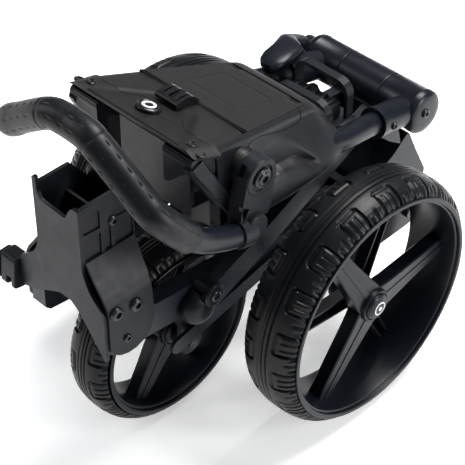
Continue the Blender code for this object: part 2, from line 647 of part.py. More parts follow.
def handle_arm(tilt, bar):
    """Hub on the console's boss, a broad wedge below it and the socket that holds the bar."""
    y, z = HANDLE_PIVOT
    wedge = [(y - 18, z - 6), (y - 25, z - 28), (y - 28, z - 47), (y + 11, z - 48), (y + 19, z - 7)]
    arm = add("handle_arm", prism(wedge, ARM_X[0], ARM_X[1] - 1.5), tilt, NYLON)
    join(arm, cylinder(HANDLE_PIVOT, 20, *ARM_X, 24))
    join(arm, cylinder(BAR_SOCKET, 14.5, ARM_X[0], ARM_X[1] + 5, 20))
    heading = (bar[1] - bar[0]).normalized()
    join(arm, sweep([bar[0] - heading * 9, bar[0] + heading * 9], BAR_R + 2.6, sides=16))
    cut(arm, cylinder(HANDLE_PIVOT, 5 + GAP, ARM_X[0] - 5, ARM_X[1] + 5, 12))
    cut(arm, sweep([bar[0] - heading * 2 * GAP] + bar[:6], BAR_R + 3 * GAP, sides=12))
    bolt = turned([(ARM_X[0] + 1, 5), (ARM_X[1] + GAP, 5), (ARM_X[1] + GAP, 9), (ARM_X[1] + 4, 9),
                   (ARM_X[1] + 5, 8)], HANDLE_PIVOT, 12, False)
    add("handle_bolt", bolt, tilt, STEEL, metallic=1.0)


def handle(tilt):
    half = smooth_path(BAR_PATH, 3)
    free_half = [Vector((-p.x, p.y, p.z)) for p in reversed(half[:-1]) if p.z > FREE_END_Z]
    path = half + free_half
    length = path_length(path)
    middle = path_length(half)
    cap = 6.0                  # closed end of the last grip, past the end of the bar
    add("handle_bar", sweep(path_piece(path, 0, length - cap), BAR_R, sides=12), tilt, FRAME)
    spans = (("left", GRIP_START, middle - GRIP_SEAM),
             ("centre", middle - GRIP_SEAM + GAP, middle + GRIP_SEAM),
             ("right", middle + GRIP_SEAM + GAP, length))
    bore = BAR_R + 3 * GAP
    for name, start, stop in spans:
        grip = add("grip_" + name, sweep(path_piece(path, start, stop), GRIP_R, bore, 12), tilt, FOAM)
    join(grip, sweep(path_piece(path, length - cap + 2 * GAP, length), bore + 1, sides=12))
    handle_arm(tilt, half)


def build():
    clear_scene()
    chassis = pivot("chassis_frame", (0, 0, 0))
    front = pivot("front_wheel_axis", (0, FRONT_Y, FRONT_R), chassis)
    upper = pivot("main_hinge_axis", (0, *BARREL), chassis)
    lid_axis = pivot("lid_axis", (0, LID_BACK, top_z(LID_BACK)), upper)
    latch_axis = pivot("latch_axis", (0, -129, top_z(-129) + GAP), upper)
    lever_axis = pivot("fold_lever_axis", (0, *BARREL), upper)
    tilt = pivot("handle_axis", (0, *HANDLE_PIVOT), upper)
    left_leg = pivot("left_leg_axis", (0, *LEG_PIVOT), chassis)
    right_leg = pivot("right_leg_axis", (0, *LEG_PIVOT), chassis)
    rear_left = pivot("rear_wheel_left_axis", (REAR_X, 0, REAR_R), left_leg)
    rear_right = pivot("rear_wheel_right_axis", (-REAR_X, 0, REAR_R), right_leg)

    wheel("front_wheel", front, FRONT_R, FRONT_W, through_axle=True)
    wheel("rear_wheel_left", rear_left, REAR_R, REAR_W)
    wheel("rear_wheel_right", rear_right, REAR_R, REAR_W, mirrored=True)
    rails(chassis)
    rear_spine(chassis)
    braces(chassis)
    side_struts(chassis)
    front_fork(chassis)
    bag_rest(chassis)
    legs(left_leg, right_leg)
    hinge_sleeves(upper)
    console(upper)
    console_lid(lid_axis)
    console_front(upper)
    lid_latch(latch_axis)
    bag_cradle(upper)
    fold_lever(lever_axis)
    handle(tilt)


build()
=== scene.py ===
"""Looks of the folded golf trolley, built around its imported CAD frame.

Sizes and places are millimetres.  Places are counted from the point on the floor under the rear axle,
with -Y towards the front wheel and +X towards the left-hand rear wheel.
"""
import json
import math

import bmesh
import bpy
import numpy as np
from mathutils import Matrix, Vector
from mathutils.bvhtree import BVHTree


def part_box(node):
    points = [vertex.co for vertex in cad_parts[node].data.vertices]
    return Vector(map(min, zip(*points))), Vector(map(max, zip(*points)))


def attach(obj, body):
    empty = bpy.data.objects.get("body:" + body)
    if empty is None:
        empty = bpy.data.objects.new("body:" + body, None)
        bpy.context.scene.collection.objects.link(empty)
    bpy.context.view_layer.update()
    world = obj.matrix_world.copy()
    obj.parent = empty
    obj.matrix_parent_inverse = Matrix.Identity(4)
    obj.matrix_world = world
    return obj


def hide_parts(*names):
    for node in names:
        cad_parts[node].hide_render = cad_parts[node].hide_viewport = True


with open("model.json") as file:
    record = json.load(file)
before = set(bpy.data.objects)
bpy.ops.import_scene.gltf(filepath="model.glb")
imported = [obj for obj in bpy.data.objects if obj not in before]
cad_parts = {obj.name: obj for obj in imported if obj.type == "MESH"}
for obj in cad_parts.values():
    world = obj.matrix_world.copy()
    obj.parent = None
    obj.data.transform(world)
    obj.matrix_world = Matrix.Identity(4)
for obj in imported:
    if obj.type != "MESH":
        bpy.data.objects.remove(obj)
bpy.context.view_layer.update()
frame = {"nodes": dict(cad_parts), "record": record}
MM = 0.001


def middle(node):
    """Centre of a CAD node's box, in millimetres from the frame's origin."""
    low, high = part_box(node)
    return (low + high) / 2 / MM


def size(node):
    low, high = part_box(node)
    return (high - low) / MM


def place_of(node):
    """Middle of a node, counted from under the rear axle."""
    return middle(node) - Vector((0, AXLE_Y, 0))


def span_y(node):
    """Front and back of a node, counted from the rear axle."""
    low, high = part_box(node)
    return low.y / MM - AXLE_Y, high.y / MM - AXLE_Y


AXLE_Y = middle("rear_wheel_left_tyre").y    # Y of the rear axle in the frame

# Console and handle, as in the CAD model
TOP_Z, TOP_Y, TOP_SLOPE = 343.0, 4.0, 0.3057
CONSOLE_BOTTOM = 299.0
HANDLE_PIVOT = (-115.0, 350.0)    # (y, z) of the handle's axis
ARM_X = (92.6, 112.0)
BARREL = (172.0, 258.0)           # (y, z) of the main hinge
GRIP_R = 15.5
BOTH_SIDES = (("left", False), ("right", True))    # and whether the piece is mirrored


def top_z(y):
    """Height of the console's top plane."""
    return TOP_Z + (TOP_Y - y) * TOP_SLOPE


# ---------------------------------------------------------------- camera, light and floor

def link(obj):
    bpy.context.scene.collection.objects.link(obj)
    return obj


def aim(obj, place, target):
    obj.location = place
    obj.rotation_euler = (Vector(target) - Vector(place)).to_track_quat('-Z', 'Y').to_euler()


def camera(place, target, lens):
    data = bpy.data.cameras.new("camera")
    data.lens = lens
    data.sensor_width = 36.0
    data.clip_end = 50.0
    cam = link(bpy.data.objects.new("camera", data))
    aim(cam, place, target)
    bpy.context.scene.camera = cam


def softbox(name, place, target, width, height, power):
    data = bpy.data.lights.new(name, 'AREA')
    data.shape = 'RECTANGLE'
    data.size, data.size_y = width, height
    data.energy = power
    aim(link(bpy.data.objects.new(name, data)), place, target)


CAMERA_PLACE, CAMERA_TARGET, LENS = (921.0, -970.4, 1301.4), (15.3, -58.2, 188.9), 124.6
LIT_POINT = (0, 0, 0.2)
SOFTBOXES = (                  # name, place in metres, width, height, power in watts
    ("top_softbox", (0.1, 0.9, 2.1), 1.5, 0.9, 74),
    ("left_softbox", (-1.9, -1.2, 1.5), 0.5, 1.5, 16),
    ("right_softbox", (2.3, 0.9, 1.0), 0.5, 1.5, 42),
)
WORLD_LIGHT, FLOOR_GLOW = 0.20, 0.45
FLOOR_DROP = 0.0002            # the floor lies just under the tyres, so the two don't flicker


def studio():
    shift = Vector((0, AXLE_Y, 0))
    camera((Vector(CAMERA_PLACE) + shift) * MM, (Vector(CAMERA_TARGET) + shift) * MM, LENS)
    for name, place, width, height, power in SOFTBOXES:
        softbox(name, place, LIT_POINT, width, height, power)
    world = bpy.data.worlds.new("studio")
    world.use_nodes = True
    world.node_tree.nodes["Background"].inputs[0].default_value = (0.90, 0.94, 1.0, 1)
    world.node_tree.nodes["Background"].inputs[1].default_value = WORLD_LIGHT
    bpy.context.scene.world = world
    bpy.context.scene.view_settings.view_transform = 'Standard'
    bm = bmesh.new()
    bmesh.ops.create_grid(bm, x_segments=1, y_segments=1, size=12)
    mesh = bpy.data.meshes.new("floor")
    bm.to_mesh(mesh)
    bm.free()
    floor = link(bpy.data.objects.new("floor", mesh))
    floor.location.z = -FLOOR_DROP
    mat = bpy.data.materials.new("floor_paper")
    mat.use_nodes = True
    shader = mat.node_tree.nodes["Principled BSDF"]
    shader.inputs["Base Color"].default_value = (0.92, 0.92, 0.92, 1)
    shader.inputs["Roughness"].default_value = 0.9
    shader.inputs["Emission Color"].default_value = (1.0, 1.0, 1.0, 1)
    shader.inputs["Emission Strength"].default_value = FLOOR_GLOW
    mesh.materials.append(mat)


# ---------------------------------------------------------------- materials

def finish(name, colour, roughness, grain=900.0, bump=0.15, specular=0.5, variation=0.12, scuff=0.0, coat=0.0,
           sides=None):
    """Moulded or coated surface: fine grain, soft mottling of colour and roughness, rubbed edges.

    With a colour for the sides, this is painted light: only faces that look up keep the first, lighter
    colour, and the sides take the darker colour as painted shade.
    """
    mat = bpy.data.materials.new(name)
    mat.use_nodes = True
    nodes, links = mat.node_tree.nodes, mat.node_tree.links
    shader = nodes["Principled BSDF"]
    place = nodes.new("ShaderNodeTexCoord")

    def noise(scale, detail, rough=0.5):
        node = nodes.new("ShaderNodeTexNoise")
        node.inputs["Scale"].default_value = scale
        node.inputs["Detail"].default_value = detail
        node.inputs["Roughness"].default_value = rough
        links.new(place.outputs["Object"], node.inputs["Vector"])
        return node.outputs["Fac"]

    def spread(source, low, high, low_out, high_out):
        node = nodes.new("ShaderNodeMapRange")
        for key, value in (("From Min", low), ("From Max", high), ("To Min", low_out), ("To Max", high_out)):
            node.inputs[key].default_value = value
        links.new(source, node.inputs["Value"])
        return node.outputs["Result"]

    def mix(factor, first, second):
        node = nodes.new("ShaderNodeMix")
        node.data_type = 'RGBA'
        links.new(factor, node.inputs["Factor"])
        for key, value in (("A", first), ("B", second)):
            if isinstance(value, tuple):
                node.inputs[key].default_value = (*value, 1)
            else:
                links.new(value, node.inputs[key])
        return node.outputs["Result"]

    dark = tuple(c * (1 - variation) for c in colour)
    light = tuple(c * (1 + variation) for c in colour)
    out = mix(spread(noise(14.0, 5.0, 0.6), 0.3, 0.7, 0.0, 1.0), dark, light)
    rub = noise(60.0, 8.0, 0.7)
    worn = tuple(min(1.0, c * 2.0 + 0.015) for c in colour)
    if scuff:
        out = mix(spread(rub, 0.56, 0.74, 0.0, scuff), out, worn)
    # painted light: upward faces stay lighter and the sides get the darker colour as painted shade
    if sides:
        painted_light_facing = nodes.new("ShaderNodeSeparateXYZ")
        links.new(place.outputs["Normal"], painted_light_facing.inputs["Vector"])
        out = mix(spread(painted_light_facing.outputs["Z"], 0.5, 0.85, 0.0, 1.0), sides, out)
    edge = nodes.new("ShaderNodeNewGeometry")
    out = mix(spread(edge.outputs["Pointiness"], 0.53, 0.62, 0.0, 0.35), out, worn)
    links.new(out, shader.inputs["Base Color"])
    links.new(spread(rub, 0.3, 0.7, roughness * 0.85, min(1.0, roughness * 1.15)), shader.inputs["Roughness"])
    shader.inputs["Specular IOR Level"].default_value = specular
    shader.inputs["Coat Weight"].default_value = coat
    shader.inputs["Coat Roughness"].default_value = 0.12
    relief = nodes.new("ShaderNodeBump")
    relief.inputs["Strength"].default_value = bump
    relief.inputs["Distance"].default_value = 0.0003
    links.new(noise(grain, 2.0), relief.inputs["Height"])
    links.new(relief.outputs["Normal"], shader.inputs["Normal"])
    return mat


MATS = {
    "tyre_rubber": finish("tyre_rubber", (0.0040, 0.0045, 0.0055), 0.36, 700, 0.25, 0.20, 0.2, 0.15),
    "rim_plastic": finish("rim_plastic", (0.0035, 0.0045, 0.0080), 0.34, 1600, 0.10, 0.22, 0.12),
    "frame_paint": finish("frame_paint", (0.0040, 0.0055, 0.0095), 0.32, 2200, 0.10, 0.26, 0.10),
    "moulded_nylon": finish("moulded_nylon", (0.0040, 0.0048, 0.0075), 0.40, 1300, 0.25, 0.20, 0.12),
    # console and lid plastic: tops lighter, sides darker, as painted shade from light falling from above
    "lid_plastic": finish("lid_plastic", (0.0085, 0.0082, 0.0088), 0.42, 1700, 0.35, 0.26, 0.10,
                          sides=(0.0036, 0.0043, 0.0068)),
    "soft_rubber": finish("soft_rubber", (0.0050, 0.0055, 0.0070), 0.40, 1500, 0.35, 0.24, 0.15),
    "gloss_black": finish("gloss_black", (0.004, 0.004, 0.005), 0.26, 300, 0.02, 0.4, 0.05, coat=0.1),
    "black_steel": finish("black_steel", (0.009, 0.010, 0.012), 0.28, 2400, 0.08, 0.40, 0.10),
}
# painted shadow: dark colour laid on the seam beads and the lid's front seal, standing for shade in the gaps
SEAM_SHADOW = finish("seam_shadow", (0.003, 0.003, 0.0035), 0.85, 900, 0.1, 0.1)
PALE = finish("emblem_paint", (0.62, 0.63, 0.66), 0.45, 1500, 0.15, 0.5, 0.05)


# ---------------------------------------------------------------- making pieces

SHARP_ANGLE = math.radians(38)


def outward(bm):
    bmesh.ops.recalc_face_normals(bm, faces=bm.faces)
    if bm.calc_volume(signed=True) < 0:
        bmesh.ops.reverse_faces(bm, faces=bm.faces)
    return bm


def flip_x(bm):
    bmesh.ops.scale(bm, vec=(-1, 1, 1), verts=bm.verts)
    bmesh.ops.reverse_faces(bm, faces=bm.faces)


def flip_mesh(obj):
    bm = bmesh.new()
    bm.from_mesh(obj.data)
    flip_x(bm)
    bm.to_mesh(obj.data)
    bm.free()


def to_object(name, bm):
    """Object from a mesh in the places' millimetres."""
    bmesh.ops.translate(bm, vec=(0, AXLE_Y, 0), verts=bm.verts)
    bmesh.ops.scale(bm, vec=(MM, MM, MM), verts=bm.verts)
    mesh = bpy.data.meshes.new(name)
    bm.to_mesh(mesh)
    bm.free()
    mesh.shade_smooth()
    mesh.set_sharp_from_angle(angle=SHARP_ANGLE)
    return link(bpy.data.objects.new(name, mesh))


def round_edges(obj, width, segments=2, angle=35):
    step = obj.modifiers.new("edges", 'BEVEL')
    step.width = width * MM
    step.segments = segments
    step.limit_method = 'ANGLE'
    step.angle_limit = math.radians(angle)
    step.harden_normals = True


def carve(obj, bm, operation='DIFFERENCE', mirrored=False):
    """Cut the shape from the object, or join it, and keep the result as its mesh."""
    if mirrored:
        flip_x(bm)
    other = to_object(obj.name + "_tool", bm)
    step = obj.modifiers.new("carve", 'BOOLEAN')
    step.operation = operation
    step.solver = 'EXACT'
    step.object = other
    result = bpy.data.meshes.new_from_object(obj.evaluated_get(bpy.context.evaluated_depsgraph_get()))
    obj.modifiers.clear()
    spent = obj.data
    obj.data = result
    bpy.data.meshes.remove(spent)
    bpy.data.objects.remove(other, do_unlink=True)


def settle(obj, body, slot, nodes=(), edge=0.0, angle=35, look=None):
    """Give a finished mesh its material, rounded edges and body, and hide the CAD parts it replaces."""
    obj.data.materials.clear()
    obj.data.materials.append(look or MATS[slot])
    obj.data.set_sharp_from_angle(angle=SHARP_ANGLE)
    if edge:
        round_edges(obj, edge, angle=angle)
    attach(obj, body)
    if nodes:
        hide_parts(*nodes)


def piece(name, bm, body, slot, nodes=(), edge=0.0, mirrored=False, look=None):
    if mirrored:
        flip_x(bm)
    settle(to_object(name, bm), body, slot, nodes, edge, look=look)


# ---------------------------------------------------------------- shapes

def fade(value, low, high):
    t = min(1.0, max(0.0, (value - low) / (high - low)))
    return t * t * (3 - 2 * t)


def between(y, table):
    return float(np.interp(y, *zip(*table)))


def merge(bm, other):
    mesh = bpy.data.meshes.new("merge")
    other.to_mesh(mesh)
    other.free()
    bm.from_mesh(mesh)
    bpy.data.meshes.remove(mesh)


def prism(outline, x0, x1):
    """Extrude a (y, z) outline along X."""
    bm = bmesh.new()
    near = [bm.verts.new((x0, y, z)) for y, z in outline]
    far = [bm.verts.new((x1, y, z)) for y, z in outline]
    bm.faces.new(near)
    bm.faces.new(list(reversed(far)))
    for i in range(len(near)):
        j = (i + 1) % len(near)
        bm.faces.new((near[j], near[i], far[i], far[j]))
    return outward(bm)


def slab(outline, y0, y1):
    """Extrude an (x, z) outline along Y."""
    bm = prism(outline, y0, y1)
    for vert in bm.verts:
        y, x, z = vert.co
        vert.co = (x, y, z)
    return outward(bm)


def fill(bm, grid):
    """Faces between the rows of a grid of vertices."""
    for a, b in zip(grid, grid[1:]):
        for j in range(len(a) - 1):
            bm.faces.new((a[j], a[j + 1], b[j + 1], b[j]))


def block(x0, x1, y0, y1, z0, z1):
    return prism([(y0, z0), (y1, z0), (y1, z1), (y0, z1)], x0, x1)


def arc(cy, cz, radius, start, stop, steps):
    angles = [math.radians(start + (stop - start) * i / steps) for i in range(steps + 1)]
    return [(cy + radius * math.cos(a), cz + radius * math.sin(a)) for a in angles]


def soft(outline, radius, steps=4):
    """Round the corners of a closed outline."""
    out = []
    count = len(outline)
    for i, corner in enumerate(outline):
        here = Vector(corner)
        before, after = Vector(outline[i - 1]) - here, Vector(outline[(i + 1) % count]) - here
        cut = min(radius, before.length * 0.48, after.length * 0.48)
        a, b = here + before.normalized() * cut, here + after.normalized() * cut
        for k in range(steps + 1):
            t = k / steps
            out.append(tuple(a * (1 - t) ** 2 + here * 2 * t * (1 - t) + b * t * t))
    return out


def turned(profile, centre, sides=48, closed_ring=False):
    """Turn an (x, radius) profile about the X line through a (y, z) centre."""
    turns = [2 * math.pi * i / sides for i in range(sides)]
    return loft([[(x, centre[0] + radius * math.cos(a), centre[1] + radius * math.sin(a)) for a in turns]
                 for x, radius in profile], closed_ring)


def loft(stations, closed_ring=False):
    """Join loops of equal length into one solid, with capped ends or closed into a ring."""
    bm = bmesh.new()
    rings = [[bm.verts.new(p) for p in loop] for loop in stations]
    count = len(rings[0])
    for a, b in zip(rings, rings[1:] + (rings[:1] if closed_ring else [])):
        for i in range(count):
            j = (i + 1) % count
            bm.faces.new((a[i], a[j], b[j], b[i]))
    if not closed_ring:
        bm.faces.new(rings[0])
        bm.faces.new(rings[-1])
    return outward(bm)


def smooth_path(points, per_span=6):
    """Catmull-Rom curve through the points."""
    pts = [Vector(p) for p in points]
    pts = [pts[0] * 2 - pts[1]] + pts + [pts[-1] * 2 - pts[-2]]
    curve = []
    for a, b, c, d in zip(pts, pts[1:], pts[2:], pts[3:]):
        for i in range(per_span):
            t = i / per_span
            curve.append(0.5 * (2 * b + (c - a) * t + (2 * a - 5 * b + 4 * c - d) * t * t
                                + (3 * b - a - 3 * c + d) * t ** 3))
    curve.append(pts[-2])
    return curve


def resample(path, step):
    """Points a fixed distance apart along a path."""
    marks = np.concatenate([[0], np.cumsum([(b - a).length for a, b in zip(path, path[1:])])])
    count = max(2, round(marks[-1] / step) + 1)
    want = np.linspace(0, marks[-1], count)
    axes = [np.interp(want, marks, [p[i] for p in path]) for i in range(3)]
    return [Vector(p) for p in zip(*axes)], want


def sweep(path, radius, sides=24):
    """Round bar along a path; the radius is a number or a function of (place along, angle)."""
    last = len(path) - 1
    tangents = [(path[min(i + 1, last)] - path[max(i - 1, 0)]).normalized() for i in range(len(path))]
    side = tangents[0].orthogonal().normalized()
    rings = []
    travelled = 0.0
    for i, (point, tangent) in enumerate(zip(path, tangents)):
        if i:
            travelled += (point - path[i - 1]).length
        side = (side - tangent * side.dot(tangent)).normalized()
        up = tangent.cross(side)
        ring = []
        for k in range(sides):
            a = 2 * math.pi * k / sides
            r = radius(travelled, a) if callable(radius) else radius
            ring.append(point + (side * math.cos(a) + up * math.sin(a)) * r)
        rings.append(ring)
    return loft(rings)


def socket_screw(centre, radius, x0, x1, sides=32):
    """Button-head screw along X with a round socket."""
    deep = (x1 - x0) * 0.7
    dome = [(x0, radius), (x0 + (x1 - x0) * 0.45, radius), (x0 + (x1 - x0) * 0.8, radius * 0.88),
            (x1, radius * 0.66), (x1, radius * 0.5)]
    return turned(dome + [(x1 - deep, radius * 0.42)], centre, sides)


# ---------------------------------------------------------------- wheels

FULL_HALF = 35.0               # the tread is drawn for a tyre 70 wide with a pitch of 50.6
PATTERN = 50.6
PATTERN_STEPS, ACROSS = 36, 74    # points along one repeat and across the tyre
BEAD_DEPTH, RIM_DEPTH = 16.5, 16.8    # how far the bead and the rim lie inside the tyre's outline
CROWN = ((0, 0), (10, 0.4), (16, 1.2), (22, 2.8), (27, 5.3), (31, 8.6), (33.4, 11.6), (34.4, 13.6))


def ramp(value, low, high):
    return np.clip((value - low) / (high - low), 0, 1)


def band(value, low, high, edge=0.4):
    return ramp(value, low - edge, low + edge) * (1 - ramp(value, high - edge, high + edge))


def stroke(a, s, start, stop):
    """Distance to a straight stroke on the tread."""
    along = (stop[0] - start[0], stop[1] - start[1])
    reach = (a - start[0]) * along[0] + (s - start[1]) * along[1]
    t = np.clip(reach / (along[0] ** 2 + along[1] ** 2), 0, 1)
    return np.hypot(a - start[0] - along[0] * t, s - start[1] - along[1] * t)


def tread_depth(a, x):
    """Depth below the crown at a place along the pattern and across the tyre."""
    s = np.abs(x)
    a = np.mod(a + np.where(x < 0, PATTERN / 2, 0), PATTERN)
    depth = 0 * a
    for groove in (0.0, 5.4):
        depth = np.maximum(depth, 1.7 * (1 - ramp(np.abs(s - groove), 0.5, 1.2)))
    reach_a, reach_s = np.abs(a - 16) - 8, np.abs(s - 24.5) - 7.5
    outside = np.hypot(np.maximum(reach_a, 0), np.maximum(reach_s, 0))
    box = outside + np.minimum(np.maximum(reach_a, reach_s), 0) - 5
    depth = np.maximum(depth, 2.4 * (1 - ramp(np.abs(box), 0.8, 1.6)))
    raised = band(a, 5, 27) * band(s, 15.5, 20)
    for start in (5.5, 13.5, 21.5):
        raised = np.maximum(raised, band(a, start, start + 5) * ramp(s, 15, 16))
    depth = np.maximum(depth, ramp(-box, 1.0, 1.7) * 1.3 * (1 - raised))
    slit = stroke(a, s, (39.5, 27), (39.5, 33))
    depth = np.maximum(depth, 1.4 * (1 - ramp(slit, 0.9, 1.7)))
    notch = np.maximum(band(a, 30.5, 33, 0.8), band(a, 46.5, 49, 0.8)) * ramp(s, 28.5, 31.5) * 1.8
    return np.maximum(depth, notch)


def tyre(name, node, body, periods):
    centre = place_of(node)
    wide, _, tall = size(node)
    half, radius = wide / 2, tall / 2
    grow = half / FULL_HALF
    x = np.linspace(-34.4, 34.4, ACROSS)
    drop = np.interp(np.abs(x), *zip(*CROWN)) * (0.4 + 0.6 * grow)
    slope = np.gradient(drop, x * grow)
    lean = np.hypot(slope, 1)
    turn = np.arange(periods * PATTERN_STEPS) / PATTERN_STEPS
    a_grid, x_grid = np.meshgrid(turn * PATTERN, x, indexing='ij')
    depth = tread_depth(a_grid, x_grid) * (0.35 + 0.65 * grow)
    place_x = x * grow - depth * slope / lean
    place_r = radius - drop - depth / lean
    bead = radius - BEAD_DEPTH
    inner_x = np.array([half - 3.6, half - 5, -half + 4, -half + 1.2])
    inner_r = np.array([bead + 0.6, bead, bead, bead + 1.6])
    count = len(turn)
    all_x = np.hstack([place_x, np.tile(inner_x, (count, 1))]) + abs(centre.x)
    all_r = np.hstack([place_r, np.tile(inner_r, (count, 1))])
    angle = (2 * math.pi * turn / periods)[:, None]
    points = np.stack([all_x, centre.y + all_r * np.cos(angle), centre.z + all_r * np.sin(angle)], axis=-1)
    rows = points.shape[1]
    bm = bmesh.new()
    grid = [[bm.verts.new(p) for p in ring] for ring in points]
    for i in range(count):
        here, after = grid[i], grid[(i + 1) % count]
        for j in range(rows):
            k = (j + 1) % rows
            bm.faces.new((here[j], after[j], after[k], here[k]))
    outward(bm)
    piece(name, bm, body, "tyre_rubber", (node,), mirrored=centre.x < 0)


def beam(stations):
    """Tapered bar out along Z from (distance, middle x, half depth, half width), edges chamfered."""
    loops = []
    for z, x, deep, wide in stations:
        c = min(deep, wide) * 0.16
        loops.append([(x - deep, -wide + c, z), (x - deep + c, -wide, z), (x + deep - c, -wide, z),
                      (x + deep, -wide + c, z), (x + deep, wide - c, z), (x + deep - c, wide, z),
                      (x - deep + c, wide, z), (x - deep, wide - c, z)])
    return loft(loops)


def wheel_rim(name, body, radius, half, centre, mirrored):
    """Deep one-piece rim with three broad outer spokes and three channelled inner ones."""
    bead = radius - RIM_DEPTH
    k = half / FULL_HALF
    ring = [(-30, 0), (31, 0), (35, 2.8), (36.4, 2.8), (37, 2.0), (37, -1.2), (36.2, -2.2), (33, -3.0),
            (32.4, -4.6), (30.5, -5.4), (4, -8.4), (-26, -7.2), (-28.5, -6.4), (-30, -5.6)]
    bm = turned([(x * k if abs(x) < 31 else math.copysign(half - FULL_HALF + abs(x), x), bead + r)
                 for x, r in ring], (0, 0), 144, True)
    hub_out = half * 0.8
    merge(bm, turned([(-half * 0.72, 16), (-half * 0.7, 17), (hub_out - 8, 20), (hub_out - 1.5, 19),
                      (hub_out, 18), (hub_out, 16.6), (hub_out - 1, 16.2)], (0, 0), 64))
    reach = bead - 4.0
    for step in range(6):
        turn = Matrix.Rotation(math.radians(60 * step - 90), 4, 'X')
        if step % 2 == 0:
            deep, x_hub, x_rim = 8.5, hub_out - 13.0, half * 0.17
            parts = [beam([(6, x_hub, deep, 18.0), (18, x_hub, deep, 17.6), (30, x_hub - 1, deep, 16.0),
                           (reach * 0.55, (x_hub + x_rim) / 2, deep, 13.0), (reach, x_rim, deep, 9.6)]),
                     beam([(20, x_hub + 7.2, 2.0, 3.2), (reach * 0.55, (x_hub + x_rim) / 2 + 7.4, 2.0, 2.4),
                           (reach, x_rim + 7.6, 2.0, 1.8)])]
        else:
            deep, x_hub, x_rim = 7.0, -half * 0.13, -half * 0.36
            parts = [beam([(8, x_hub - 5, 2.0, 9.3), (reach, x_rim - 5, 2.0, 6.0)])]
            for sign in (-1, 1):
                rib = beam([(8, x_hub, deep, 1.2), (reach, x_rim, deep, 1.1)])
                for vert in rib.verts:
                    vert.co.y += sign * (8.2 - 3.2 * (vert.co.z - 8) / (reach - 8))
                parts.append(rib)
        for part in parts:
            bmesh.ops.transform(part, matrix=turn, verts=part.verts)
            merge(bm, part)
    bmesh.ops.translate(bm, vec=(abs(centre.x), centre.y, centre.z), verts=bm.verts)
    piece(name, bm, body, "rim_plastic", (name.replace("_detail", ""),), 0.7, mirrored)
    return hub_out


CAP_RISE, CAP_R = 5.2, 15.1    # height and radius of the hub cap's dome
CAP_SEAT = 0.3                 # gap between the hub's face and the cap


def hub_cap(name, node, body, hub_out, centre, mirrored):
    """Domed cap with a plain painted ring and dot."""
    foot = abs(centre.x) + hub_out + CAP_SEAT
    turns = [math.pi / 2 * (1 - i / 8) for i in range(9)]
    dome = [(foot + CAP_RISE * math.cos(a), 0.4 + CAP_R * math.sin(a)) for a in turns]
    base = [(foot, CAP_R + 0.3)] + dome
    piece(name, turned(base, (centre.y, centre.z), 56), body, "rim_plastic", (node,), mirrored=mirrored)

    def dome_x(r):
        return foot + CAP_RISE * math.sqrt(max(0.0, 1 - ((r - 0.4) / CAP_R) ** 2))

    for label, r0, r1 in (("ring", 6.4, 7.8), ("dot", 0.5, 2.4)):
        section = ((r0, -0.4), (r0, 0.18), ((r0 + r1) / 2, 0.2), (r1, 0.18), (r1, -0.4))
        bm = turned([(dome_x(r) + lift, r) for r, lift in section], (centre.y, centre.z), 48, True)
        piece(f"{name}_{label}", bm, body, "rim_plastic", mirrored=mirrored, look=PALE)


def wheels():
    for name, periods in (("front_wheel", 14), ("rear_wheel_left", 18), ("rear_wheel_right", 18)):
        node = name + "_tyre"
        tyre(node + "_tread", node, name, periods)
        centre = place_of(node)
        wide, _, tall = size(node)
        mirrored = centre.x < 0
        hub_out = wheel_rim(name + "_rim_detail", name, tall / 2, wide / 2, centre, mirrored)
        hub_cap(name + "_cap", name + "_hub_cap", name, hub_out, centre, mirrored)


# ---------------------------------------------------------------- console

BACK_FALL = 39.15              # how far the top falls away behind the lid
LID_FRONT, LID_BACK, LID_GAP = 72, 52, 0.4    # half widths of the lid, and the gap beside it


def console_top(y):
    """Height of the top along the middle, falling away behind the lid."""
    return top_z(min(y, 12)) - BACK_FALL * fade(y, 9, 60)


def sunken(x, y):
    """How far the wedge in front of the lid lies below the rest of the top."""
    half = 26 - 0.72 * (y + 118)
    return 2.2 * (1 - fade(abs(x), half - 5, half + 5))


TOP_HALF = ((-180, 81), (-150, 80), (-97, 71), (-30, 59), (12, 52), (32, 49), (46, 45))
SIDE_HALF = ((-180, 84), (-150, 90.5), (-110, 92), (-97, 95), (-60, 97), (-30, 97), (-5, 95), (12, 91),
             (36, 83), (46, 76))
SKIRT_Z = 285.0                # lower edge of the sides, which wrap round the frame tubes
SCOOP_TOP = ((-104, 352), (-84, 346), (-68, 349), (-53, 345), (-31, 327), (-11, 300))
POD_TOP = ((-104, 310), (-85, 314), (-63, 317), (-39, 313), (-26, 306), (-12, 297))


